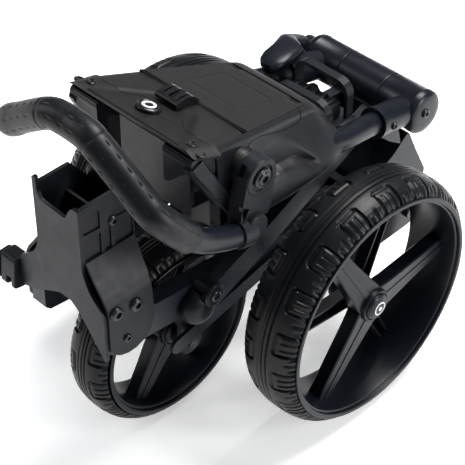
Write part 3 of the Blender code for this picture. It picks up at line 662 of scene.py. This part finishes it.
def console_ring(y, bottom):
    """Cross-section: flat underside, bellied side, rounded shoulder and crowned top."""
    steps = 26
    top, top_half, side_half = console_top(y), between(y, TOP_HALF), between(y, SIDE_HALF)
    shoulder = 11.0
    half = [(x, bottom) for x in np.linspace(0, side_half - 5, 8)]
    half += [(side_half - 5 + 5 * math.sin(a), bottom + 5 - 5 * math.cos(a)) for a in (0.4, 0.8, 1.2, 1.57)]
    low, high = bottom + 5, top - shoulder * 0.8
    knee = top_half + shoulder * 0.55
    for i in range(1, steps):
        t = i / steps
        x = side_half + (knee - side_half) * (t ** 1.35)
        half.append((x, low + (high - low) * t))
    for i in range(9):
        a = math.pi / 2 * i / 8
        half.append((top_half - shoulder * 0.45 + (knee - top_half + shoulder * 0.45) * math.cos(a),
                     high + (top - high) * math.sin(a)))
    inward = np.linspace(top_half - shoulder * 0.45, 0, 22)[1:]
    half += [(x, top + 0.8 * (1 - (x / top_half) ** 2)) for x in inward]
    ring = []
    for x, z in half:
        if z < top - 2 and z > bottom + 2 and -104 < y < -8:
            roof, pod = between(y, SCOOP_TOP), between(y, POD_TOP)
            ends = fade(y, -104, -92) * (1 - fade(y, -20, -8))
            if pod < z < roof:
                x -= 8.0 * ends * (1 - (z - pod) / (roof - pod)) ** 1.2 * fade(z, pod, pod + 2.0)
            elif z <= pod:
                x += 1.5 * ends * math.sin(math.pi * (z - bottom) / (pod - bottom))
        if z > top - 2.5 and y < -112:
            z -= sunken(x, y) * fade(-y, 112, 126)
        ring.append((x, z))
    loop = [(x, y, z) for x, z in ring]
    return loop + [(-x, y, z) for x, z in reversed(ring[1:-1])]


def console_body():
    ys = list(np.linspace(-150, 30, 61)) + [34, 37, 40, 42.5, 44.5, 46]
    rings = []
    for y in ys:
        rings.append(console_ring(y, SKIRT_Z + 4 * fade(y, 30, 46)))
    body = to_object("console_shell", loft(rings))
    nose = []
    for y in (-148, -152, -156, -162, -168, -174, -178.5, -180):
        top_half = between(y, ((-180, 86), (-150, 90)))
        thick = 9.0 - 5.0 * fade(-y, 170, 181)
        top = [(x, top_z(y) + 0.6 * (1 - (x / top_half) ** 2)) for x in np.linspace(-top_half, top_half, 41)]
        ring = [(x, y, z - sunken(x, y) - 5.5 * max(0.0, (abs(x) - top_half + 13) / 13) ** 2)
                for x, z in top]
        ring += [(top_half - 1, y, top_z(y) - thick), (-top_half + 1, y, top_z(y) - thick)]
        nose.append(ring)
    carve(body, loft(nose), 'UNION')
    carve(body, block(-70, 70, -148, 60, SKIRT_Z - 5, CONSOLE_BOTTOM))
    recess = soft([(-60, 340), (-60, 294), (-145, 294), (-145, 330)], 8)
    carve(body, prism(recess, -62, 62))
    carve(body, block(-58, 58, -40, 30, CONSOLE_BOTTOM - 5, CONSOLE_BOTTOM + 8))
    front, back = span_y("console_lid")
    front, back = front - 0.3, back + 0.7
    corners = ((back, -4.3), (front, -4.3), (front, 8), (back, 8))
    bed = prism([(y, top_z(y) + rise) for y, rise in corners], -1, 1)
    for vert in bed.verts:
        vert.co.x *= LID_GAP + (LID_FRONT if vert.co.y < -50 else LID_BACK)
    carve(body, bed)
    tray = soft([(-12, 316), (-84, 322), (-84, 372), (-12, 352)], 6)
    carve(body, prism(tray, -44, 44))
    carve(body, turned([(78, 18), (91, 18), (92.3, 17.2)], HANDLE_PIVOT, 48), 'UNION')
    opening = soft([(-170, 270), (-170, 352), (-150, 366), (-130, 360), (-98, 340), (-98, 270)], 8)
    for mirrored in (False, True):
        carve(body, prism(opening, 49, 75.5), mirrored=mirrored)
        carve(body, block(76, 110, -160, -128, 270, 299), mirrored=mirrored)
    settle(body, "upper_frame", "lid_plastic", ("console_body",), 0.5, 50)
    return body


def line_on(body, name, points, direction, radius):
    """Thin bead laid where lines from the points first meet the piece; its dark colour is painted shadow in
    the seam.
    """
    tree = BVHTree.FromObject(body, bpy.context.evaluated_depsgraph_get())
    shift = Vector((0, AXLE_Y, 0))
    path = []
    for point in smooth_path(points, 5):
        hit = tree.ray_cast((point + shift) * MM, Vector(direction).normalized())[0]
        path.append(hit / MM - shift)
    piece(name, sweep(path, radius, 8), "upper_frame", "moulded_nylon", look=SEAM_SHADOW)


def stand_on_top(bm, x, y, lift=0.0):
    """Stand a shape that was turned about X on the console's sloping top."""
    bmesh.ops.rotate(bm, matrix=Matrix.Rotation(math.radians(-90), 3, 'Y'), verts=bm.verts)
    bmesh.ops.rotate(bm, matrix=Matrix.Rotation(-math.atan(TOP_SLOPE), 3, 'X'), verts=bm.verts)
    bmesh.ops.translate(bm, vec=(x, y, top_z(y) + lift), verts=bm.verts)
    return bm


def console_brackets():
    for side, mirrored in BOTH_SIDES:
        spine = smooth_path([(81, -175, 384), (81.5, -171, 374), (82.8, -163, 360), (83.5, -152, 340),
                             (83.5, -141, 320), (83.5, -130, 301)], 5)
        rings = []
        for i, point in enumerate(spine):
            ahead = (spine[min(i + 1, len(spine) - 1)] - spine[max(i - 1, 0)]).normalized()
            flat = Vector((0, -ahead.z, ahead.y))
            half = 9.5 - 2.0 * i / len(spine)
            wide = 0.72 + 0.28 * fade(i, 0, 10)
            corner = [(-7.5, -half + 2.5), (-5, -half), (4, -half), (7.5, -half + 3.5), (7.5, half - 2),
                      (5.5, half), (-5.5, half), (-7.5, half - 2)]
            rings.append([point + Vector((dx * wide, 0, 0)) + flat * dn for dx, dn in corner])
        bracket = to_object(f"bracket_{side}_sculpted", loft(rings))
        shoulder = soft([(-151, top_z(-151) - 9), (-179.5, top_z(-180) - 8), (-182, top_z(-182) - 15),
                         (-179, top_z(-182) - 26), (-151, top_z(-151) - 30)], 4)
        carve(bracket, prism(shoulder, 46, 84.5), 'UNION')
        web = soft([(46, top_z(-181) - 10), (46, 352), (51, 349), (78, 374), (80, top_z(-181) - 10)], 3)
        carve(bracket, slab(web, -181, -168), 'UNION')
        if mirrored:
            flip_mesh(bracket)
        settle(bracket, "upper_frame", "moulded_nylon", ("console_bracket_" + side,), 1.6, 30)


def console_details(body):
    for side, sign in (("left", 1), ("right", -1)):
        wave = [(90, -121, 368), (86, -106, 364), (84, -97, 370), (82, -80, 368), (79, -62, 360),
                (75, -42, 350), (66, -14, 339), (60, -7, 341), (56, -6, 345)]
        points = [(sign * (x + 40), y, z + 40) for x, y, z in wave]
        line_on(body, "side_seam_" + side, points, (-sign, 0, -1), 0.45)
        rim = [Vector((sign * (between(y, SIDE_HALF) - 3), y, SKIRT_Z + 0.8)) for y in range(-124, 41, 4)]
        piece("bottom_flange_" + side, sweep(rim, 1.5, 10), "upper_frame", "moulded_nylon")
        for number, (x, y, lift) in enumerate(((70, -166, 0.7), (84, -169, -2.6))):
            cup = turned([(-1, 5.4), (0.5, 5.4), (0.9, 4.9), (0.2, 4.2), (-0.8, 3.9), (-0.8, 2.0),
                          (-1.6, 1.8)], (0, 0), 32)
            stand_on_top(cup, sign * x, y, lift)
            piece(f"top_screw_{side}_{number}", cup, "upper_frame", "black_steel")
    line_on(body, "front_seam", [(x, -176.3, 430) for x in (-62, -30, 0, 30, 62)], (0, 0, -1), 0.6)
    for name, sign, turn_x in (("shell_seam", -1, 30), ("shell_seam_near", 1, 28)):
        points = [(sign * x, y, 430) for x, y in ((70, -152), (45, -150), (turn_x, -138), (24, -133))]
        line_on(body, name, points, (0, 0, -1), 0.3)
    seal = [(-97.2, top_z(-97.2) - 2), (-101.5, top_z(-101.5) - 2), (-101.2, top_z(-101) + 1.3),
            (-99.8, top_z(-100) + 1.6), (-99.2, top_z(-99) + 0.3), (-98.4, top_z(-98) + 0.3),
            (-97.6, top_z(-97.6) + 1.5)]
    piece("lid_front_seal", prism(seal, -72.5, 72.5), "upper_frame", "soft_rubber", look=SEAM_SHADOW)
    badge = turned([(-1, 13), (1.2, 13), (2.2, 12.2), (2.6, 11), (2.1, 10.4), (2.3, 6), (2.4, 0.4)],
                   (0, 0), 64)
    piece("badge_domed", stand_on_top(badge, -6, -150, 0.3), "upper_frame", "gloss_black", ("console_badge",))
    mark = turned([(2.0, 4.4), (2.75, 4.6), (2.75, 7.4), (2.0, 7.6)], (0, 0), 48, True)
    piece("badge_ring", stand_on_top(mark, -6, -150, 0.3), "upper_frame", "gloss_black", look=PALE)


def lid():
    front, back = span_y("console_lid")
    bm = bmesh.new()
    rows, cols = 60, 72
    grid = []
    for i in range(rows + 1):
        y = front + (back - front) * i / rows
        wide = LID_FRONT + (LID_BACK - LID_FRONT) * i / rows
        line = []
        for j in range(cols + 1):
            x = -wide + 2 * wide * j / cols
            z = top_z(y) + 0.8 * (1 - (x / wide) ** 2) * min(1.0, (back - y) / 8)
            panel = max(abs(x) - 34, abs(y + 46) - 25)
            z -= 0.5 * max(0.0, 1 - abs(panel) / 1.6)
            notch = fade(y, back - 9, back - 7.5) * fade(abs(x), 33, 34.5) * (1 - fade(abs(x), 47, 48.5))
            z -= 1.2 * notch
            line.append(bm.verts.new((x, y, z)))
        grid.append(line)
    fill(bm, grid)
    extruded = bmesh.ops.extrude_face_region(bm, geom=list(bm.faces))
    for item in extruded["geom"]:
        if isinstance(item, bmesh.types.BMVert):
            item.co.z = top_z(item.co.y) - 4.0
    outward(bm)
    piece("lid_grained", bm, "console_lid", "lid_plastic", ("console_lid",), 0.5)


def latch():
    z0 = top_z(-113)
    outline = soft([(-129, top_z(-129) + 0.3), (-99, top_z(-99) + 0.3), (-98, top_z(-98) + 6.5),
                    (-107, z0 + 10.5), (-120, z0 + 12), (-129, top_z(-129) + 6)], 4, 5)
    shell = to_object("latch_gloss", prism(outline, -20, 10))
    carve(shell, block(-7.5, -0.5, -124, -104, z0 + 7.5, z0 + 30))
    for x in (-14, 5):
        carve(shell, block(x - 1.0, x + 1.2, -124, -104, z0 + 9, z0 + 30))
    carve(shell, block(-16, 7, -135, -125.5, top_z(-129) - 3, top_z(-129) + 3.5))
    settle(shell, "lid_latch", "gloss_black", ("lid_latch",), 0.9, 30)


# ---------------------------------------------------------------- handle

BAR_PATH = [(107.6, -139, 295), (108, -152, 298.5), (108.5, -172, 307), (109, -198, 322), (109.5, -223, 348),
            (107, -234, 362), (101, -243, 374), (90, -245, 382), (65, -247, 400), (35, -249, 420),
            (20, -248, 425), (0, -247, 425)]
FREE_END_Z = 370.0
GRIP_START = 84.0
GRIP_SEAM = 33.0
SLIT_PITCH, SLIT_ROWS = 15.0, 8


def handle():
    half = smooth_path(BAR_PATH, 3)
    free_half = [Vector((-p.x, p.y, p.z)) for p in reversed(half[:-1]) if p.z > FREE_END_Z]
    path, marks = resample(half + free_half, 1.5)
    length = marks[-1]
    middle_mark = sum((b - a).length for a, b in zip(half, half[1:]))
    bare = [p for p, m in zip(path, marks) if m < GRIP_START + 20]
    piece("bar_bend", sweep(bare, 12.5, 48), "handle", "frame_paint", ("handle_bar",))
    first, second, third = (min(marks, key=lambda m: abs(m - mark))
                            for mark in (GRIP_START, middle_mark - GRIP_SEAM, middle_mark + GRIP_SEAM))
    spans = (("left", first, second), ("centre", second, third), ("right", third, length))

    for name, start, stop in spans:
        cut = [p for p, m in zip(path, marks) if start - 0.1 <= m <= stop + 0.1]

        def radius(along, angle, start=start, stop=stop, name=name):
            mark = start + along
            r = GRIP_R
            if name == "left":
                r += 0.9 * (1 - fade(mark, start + 1, start + 9))
            for seam in (start, stop):
                r -= 0.7 * (1 - fade(abs(mark - seam), 0.4, 1.8)) if 1 < seam < length - 1 else 0
            if name == "right":
                r += 1.0 * fade(mark, length - 40, length - 18)
                past = max(0.0, mark - (length - 13))
                r *= math.sqrt(max(0.02, 1 - (past / 13.2) ** 2))
            for row in range(SLIT_ROWS):
                centre = 2 * math.pi * (row + 0.5) / SLIT_ROWS
                off = abs((angle - centre + math.pi) % (2 * math.pi) - math.pi) * GRIP_R
                phase = (mark + (SLIT_PITCH / 2 if row % 2 else 0)) % SLIT_PITCH
                if off < 1.4 and 3.5 < phase < 11 and start + 6 < mark < stop - 6 and mark < length - 20:
                    r -= 0.75 * (1 - fade(off, 0.3, 1.2)) * fade(phase, 3.5, 4.8) * (1 - fade(phase, 9.7, 11))
            return r

        piece("grip_slitted_" + name, sweep(cut, radius, 128), "handle", "soft_rubber", ("grip_" + name,))


def handle_arm():
    y, z = HANDLE_PIVOT
    x0, x1 = ARM_X
    hub = [(x0, 19), (x0 + 1, 20), (x1 - 2, 20), (x1 - 0.4, 19), (x1, 17.6), (x1, 14.4), (x1 - 0.8, 13.6),
           (x1 - 2.6, 13.2), (x1 - 3, 6), (x1 - 3, 3)]
    arm = to_object("arm_sculpted", turned(hub, HANDLE_PIVOT, 96))
    wedge = soft([(y - 19.5, z + 2), (y - 26, z - 26), (y - 29, z - 46), (y - 20, z - 50), (y + 11, z - 48),
                  (y + 19.5, z - 2), (y, z - 8)], 5)
    carve(arm, prism(wedge, x0, x1 - 1.5), 'UNION')
    carve(arm, turned([(x0, 14.5), (x1 + 3.5, 14.5), (x1 + 5, 13)], (-126, 297), 48), 'UNION')
    half = smooth_path(BAR_PATH, 3)
    heading = (half[1] - half[0]).normalized()
    carve(arm, sweep([half[0] - heading * 9, half[0], half[0] + heading * 9], 15.1, 40), 'UNION')
    window = [(y - 30, z + 6), (y - 22, z + 22), (y - 9, z + 14), (y - 15, z + 3)]
    carve(arm, prism(window, x0 + 4, x0 + 11))
    carve(arm, prism([(y - 27, z - 22), (y - 16, z - 29), (y - 24, z - 41)], x1 - 6, x1 + 2))
    carve(arm, turned([(x0 - 5, 5.3), (x1 + 5, 5.3)], HANDLE_PIVOT, 24))
    carve(arm, sweep([half[0] - heading * 0.6] + half[:6], 13.0, 40))
    settle(arm, "handle", "moulded_nylon", ("handle_arm",), 1.0, 30)
    bolt = turned([(x0 + 1, 5), (x1 - 2.6, 5), (x1 - 2.6, 10.5), (x1 + 0.6, 10.5), (x1 + 1.4, 9.6),
                   (x1 + 1.4, 7.4), (x1 + 2.6, 7.0), (x1 + 3.2, 6.2), (x1 + 3.2, 4.2), (x1 + 0.5, 3.8)],
                  HANDLE_PIVOT, 48)
    piece("handle_bolt_socket", bolt, "handle", "black_steel", ("handle_bolt",))
    foot = soft([(-160, 296), (-150, 291.5), (-116, 299.5), (-116, 303), (-150, 296.5)], 1.5)
    piece("arm_lower_lip", prism(foot, x0 + 2, x1 - 1), "handle", "moulded_nylon", edge=0.6)


# ---------------------------------------------------------------- bag rest and cheeks

def bag_rest():
    front, back = span_y("bag_rest")[0], -208.0
    half, floor_z, top = 32.0, 288.0, 352.0
    wall = [(-half, floor_z), (half, floor_z), (half, top + 4), (24, top + 4), (19, top - 2), (13, top - 14),
            (-22, top - 12), (-26, top - 4), (-27, top + 13), (-half, top + 12)]
    box = to_object("bag_rest_moulded", slab(soft(wall, 1.5, 2), front, front + 4))
    splay = [(-half, floor_z + 6), (-34, 276), (-42, 263), (-64, 246), (-66, 206), (-44, 212), (-20, 226),
             (-2, 235), (10, 235), (22, 226), (34, 212), (59, 178), (59, 240), (40, 262), (half, 280),
             (half, floor_z + 6)]
    side = [(front, floor_z - 4), (back, floor_z - 10), (back, top - 28), (-232, top + 4), (front, top + 4)]
    rear = [(-half, floor_z - 8), (half, floor_z - 8)] + arc(0, top - 26, half, 0, 180, 32)
    bottom = [(front, floor_z), (back, floor_z - 10), (back, floor_z - 5), (front, floor_z + 5)]
    neck = [(front, 236), (front + 26, 236), (front + 34, floor_z + 2), (front, floor_z + 2)]
    for part in (slab(soft(splay, 6, 3), front, front + 4.5),
                 prism(soft(side, 2, 2), half - 4, half), prism(soft(side, 2, 2), -half, -half + 4),
                 slab(rear, back - 4, back), prism(bottom, -half + 1, half - 1),
                 block(6, 9, front + 2, back - 2, floor_z - 2, top - 22),
                 block(18, 20.5, -250, back - 2, floor_z - 2, top - 14),
                 block(-half + 2, half - 2, -240, -237, floor_z - 4, top - 24), prism(neck, -24, 24)):
        carve(box, part, 'UNION')
    for sign in (1, -1):
        for y0, y1 in ((-271, -250), (-245.5, -237.5), (-233, -210)):
            for z0, z1 in ((288.5, 319), (324, 346)):
                if y1 > -220:
                    z1 = min(z1, 336)
                if y0 == -245.5 and z0 > 300:
                    continue
                shape = prism(soft([(y0, z0), (y1, z0 - 1.5), (y1, z1 - 1.5), (y0, z1)], 2, 2),
                              sign * (half - 1.8), sign * (half + 2))
                carve(box, outward(shape))
    settle(box, "chassis", "moulded_nylon", ("bag_rest",), 0.7, 30)
    for side_name, mirrored in BOTH_SIDES:
        piece("rest_screw_" + side_name, socket_screw((-235, 323), 5.5, half + 0.2, half + 3.4), "chassis",
              "black_steel", mirrored=mirrored)


def cheek_sheet():
    """Side sheet that flares from the rest's wall out to the rail and ends in a round lobe."""
    rows, cols, thick = 44, 18, 4.0
    outer, inner = [], []
    for i in range(rows + 1):
        z = 291 - (291 - 178.5) * i / rows
        x = between(z, ((178, 61.3), (236, 61.5), (248, 60.5), (260, 55), (275, 44), (291, 33)))
        depth = max(0.0, 31.0 ** 2 - max(0.0, 209.0 - z) ** 2)
        back = -244 + math.sqrt(depth) * between(z, ((178, 1.0), (209, 1.0), (250, 0.93), (291, 1.12)))
        front = max(-271.4, -244 - math.sqrt(depth)) if z < 209 else -271.4
        line = [(front + (back - front) * j / cols) for j in range(cols + 1)]
        crown = [0.9 * math.sin(math.pi * j / cols) ** 0.5 if 0 < j < cols else 0.0 for j in range(cols + 1)]
        outer.append([(x + 0.1 + c * 0.2, y, z) for y, c in zip(line, crown)])
        inner.append([(x - thick, y, z) for y in line])
    bm = bmesh.new()
    out_v = [[bm.verts.new(p) for p in row] for row in outer]
    in_v = [[bm.verts.new(p) for p in row] for row in inner]
    fill(bm, out_v)
    fill(bm, in_v)
    edge = ([(0, j) for j in range(cols)] + [(i, cols) for i in range(rows)]
            + [(rows, j) for j in range(cols, 0, -1)] + [(i, 0) for i in range(rows, 0, -1)])
    for (i, j), (m, n) in zip(edge, edge[1:] + edge[:1]):
        bm.faces.new((out_v[i][j], out_v[m][n], in_v[m][n], in_v[i][j]))
    return outward(bm)


def cheeks():
    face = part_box("cheek_screw_front_left")[0].x / MM
    for side, mirrored in BOTH_SIDES:
        piece("cheek_flared_" + side, cheek_sheet(), "chassis", "moulded_nylon", ("cheek_" + side,), 1.0,
              mirrored)
        for place, centre in (("front", (-262, 240)), ("rear", (-237, 236))):
            screw = socket_screw(centre, 7.5, face, face + 4.0)
            node = f"cheek_screw_{place}_{side}"
            piece(node + "_socket", screw, "chassis", "black_steel", (node,), mirrored=mirrored)
        small = socket_screw((-250, 200), 4.6, face, face + 2.6)
        piece("cheek_small_screw_" + side, small, "chassis", "black_steel", mirrored=mirrored)


# ---------------------------------------------------------------- frame

KNUCKLE, LEG_SCREW = (-158, 183), (-147, 199)    # (y, z)


def knuckles():
    for side, mirrored in BOTH_SIDES:
        dome = [(57.3, 17.5), (59, 19.4), (62, 20.6), (66, 20.6), (70, 19.4), (74, 16.6), (77, 12.4),
                (78.6, 7.5), (79, 1)]
        ball = to_object("knuckle_ball_" + side, turned(dome, KNUCKLE, 64))
        carve(ball, turned([(58, 13.2), (78.5, 13.2), (80.3, 11.8), (80.8, 10), (80.2, 9), (80.2, 1)],
                           LEG_SCREW, 48), 'UNION')
        carve(ball, prism([(-160, 170), (-120, 186), (-120, 220), (-160, 205)], 59.6, 73.4))
        if mirrored:
            flip_mesh(ball)
        settle(ball, "chassis", "moulded_nylon", ("brace_knuckle_" + side,), 0.6, 30)
        piece("knuckle_screw_" + side, socket_screw(LEG_SCREW, 6.4, 80.0, 82.6), "chassis", "black_steel",
              mirrored=mirrored)


def barrel():
    """Smooth shells over the main hinge: the chassis knuckle, the two sleeves and the frame tubes."""
    y, z = BARREL
    spine = turned([(-29.9, 24.2), (-29, 25), (29, 25), (29.9, 24.2)], BARREL, 72)
    web = [(y - 18, z - 10), (y + 20, z - 8), (y + 42, z - 60), (y + 20, z - 60)]
    merge(spine, prism(soft(web, 3, 2), -29, 29))
    lug = [(144, 223), (144, 253), (y - 6, z + 4), (y + 4, z - 44)]
    merge(spine, prism(lug, -28.5, 28.5))
    plate = [(y + 3, z - 37), (y + 17, z - 67), (212, 146), (196, 128), (112.3, 132), (112.3, 182),
             (150, 200)]
    merge(spine, prism(soft(plate, 6, 3), -59, 59))
    piece("spine_smooth", spine, "chassis", "frame_paint", ("rear_spine",), 1.2)
    for side, mirrored in BOTH_SIDES:
        shell = turned([(30.3, 24.2), (31, 25), (72, 25), (73, 25.6), (78, 25.2), (80.5, 23.6), (82.3, 20.5),
                        (83, 15), (83, 1)], BARREL, 72)
        arm = smooth_path([(62, y - 10, z + 1.5), (63, y - 40, z + 8), (64, y - 68, z + 14)], 5)
        merge(shell, sweep(arm, lambda along, angle: 17 + 0.7 * fade(along, 50, 54), 48))
        gusset = [(y - 20, z - 20), (y - 14, z - 44), (y - 34, z - 30), (y - 58, z - 8)]
        merge(shell, prism(soft(gusset, 4, 3), 57, 62))
        piece("sleeve_smooth_" + side, shell, "upper_frame", "frame_paint", ("hinge_sleeve_" + side,), 0.6,
              mirrored=mirrored)
        bolt = socket_screw((y - 3, z + 3), 5.2, 83.2, 86)
        piece("barrel_bolt_" + side, bolt, "upper_frame", "black_steel", ("barrel_end_bolt_" + side,),
              mirrored=mirrored)
        path = smooth_path([(63.1, y - 49, z + 10), (64, y - 68, z + 14), (68, 72, 280), (71, 40, 287),
                            (72, 20, 293), (71, 0, 298)], 8)
        piece("tube_smooth_" + side, sweep(path, 12.5, 48), "upper_frame", "frame_paint",
              ("frame_tube_" + side,), 0.6, mirrored=mirrored)
        screw = socket_screw((y - 52, z + 11), 4.4, 80.6, 83, 24)
        piece("sleeve_screw_" + side, screw, "upper_frame", "black_steel", mirrored=mirrored)


def cradle_block():
    """Moulded block between the bag hoops, with a ribbed top."""
    bm = block(-30, 30, 69, 90, 272.4, 290)
    for x in (-24, -12, 0, 12, 24):
        merge(bm, block(x - 1.5, x + 1.5, 70, 89, 289, 293))
    merge(bm, block(-12, 12, 66, 93, 272.4, 283))
    piece("cradle_block", bm, "upper_frame", "moulded_nylon", edge=1.0)


def web_plate():
    """Ribbed tray between the chassis rails, in front of the barrel."""
    section = soft([(-57, 158), (57, 158), (57, 176), (-57, 176)], 3)
    tray = to_object("web_tray_moulded", slab(section, -14, 108))
    for x in (-40, -20, 0, 20, 40):
        carve(tray, block(x - 7, x + 7, 0, 96, 166, 190))
    settle(tray, "chassis", "moulded_nylon", (), 1.0, 30)


def side_foot():
    outline = soft([(-286, 202), (-266, 199), (-262, 238), (-282, 239)], 5)
    foot = to_object("side_foot_moulded", prism(outline, -88, -66.5))
    carve(foot, slab(soft([(-79, 190), (-72, 190), (-72, 214), (-79, 214)], 2), -300, -255))
    settle(foot, "chassis", "moulded_nylon", ("side_foot",), 1.2, 30)
    pad = prism(soft([(-287, 205), (-267, 202), (-264, 236), (-284, 235)], 6), -94, -88.3)
    piece("side_foot_tread", pad, "chassis", "tyre_rubber", ("side_foot_pad",), 1.2)


def lever():
    """Hooked fold lever: a round boss on the barrel's end and an arm that widens into a flat thumb pad."""
    y, z = BARREL
    hub_x = -86.5
    boss = [(hub_x - 11, 15.5), (hub_x - 9.5, 17), (hub_x - 1, 17), (hub_x, 16)]
    hub = to_object("lever_sculpted", turned(boss, BARREL, 64))
    sections = (               # y, then the section's span in x and in z
        (y - 6, hub_x - 10.5, hub_x - 0.5, z + 2, z + 22), (154, hub_x - 10.5, hub_x + 1, 270, 288),
        (142, hub_x - 10, hub_x + 4, 278, 294), (134, hub_x - 9, -72, 284, 299), (124, -92, -56, 289, 304),
        (104, -84, -50, 291.5, 306), (88, -82, -49, 291, 305), (78, -78, -52, 291.5, 303),
        (73.5, -73, -57, 293, 300.5))
    rings = []
    for place_y, x0, x1, z0, z1 in sections:
        cx, cz, hx, hz = (x0 + x1) / 2, (z0 + z1) / 2, (x1 - x0) / 2, (z1 - z0) / 2
        rings.append([(cx + hx * math.copysign(abs(math.cos(a)) ** 0.6, math.cos(a)), place_y,
                       cz + hz * math.copysign(abs(math.sin(a)) ** 0.6, math.sin(a)))
                      for a in [2 * math.pi * (k + 0.5) / 28 for k in range(28)]])
    carve(hub, loft(rings), 'UNION')
    carve(hub, turned([(hub_x - 20, 10), (hub_x + 6, 10)], BARREL, 32))
    settle(hub, "fold_lever", "frame_paint", ("fold_lever",), 0.8, 30)


# ---------------------------------------------------------------- assembly

studio()
SLOT_OF = {row["node"]: row["material_slot"] for row in frame["record"]["subparts"]}
EDGES = {"rail": 4.0, "brace": 3.0, "leg_left": 2.5, "leg_right": 2.5, "side_strut": 0.8, "cradle_hoop": 1.6,
         "dropout": 1.2}
for node_name, node in frame["nodes"].items():
    node.data.materials.clear()
    node.data.materials.append(MATS[SLOT_OF[node_name]])
    widths = [width for start, width in EDGES.items() if node_name.startswith(start)]
    round_edges(node, widths[0] if widths else 0.7, 3)

wheels()
shell = console_body()
console_brackets()
console_details(shell)
lid()
latch()
handle()
handle_arm()
bag_rest()
cheeks()
knuckles()
barrel()
cradle_block()
side_foot()
web_plate()
lever()
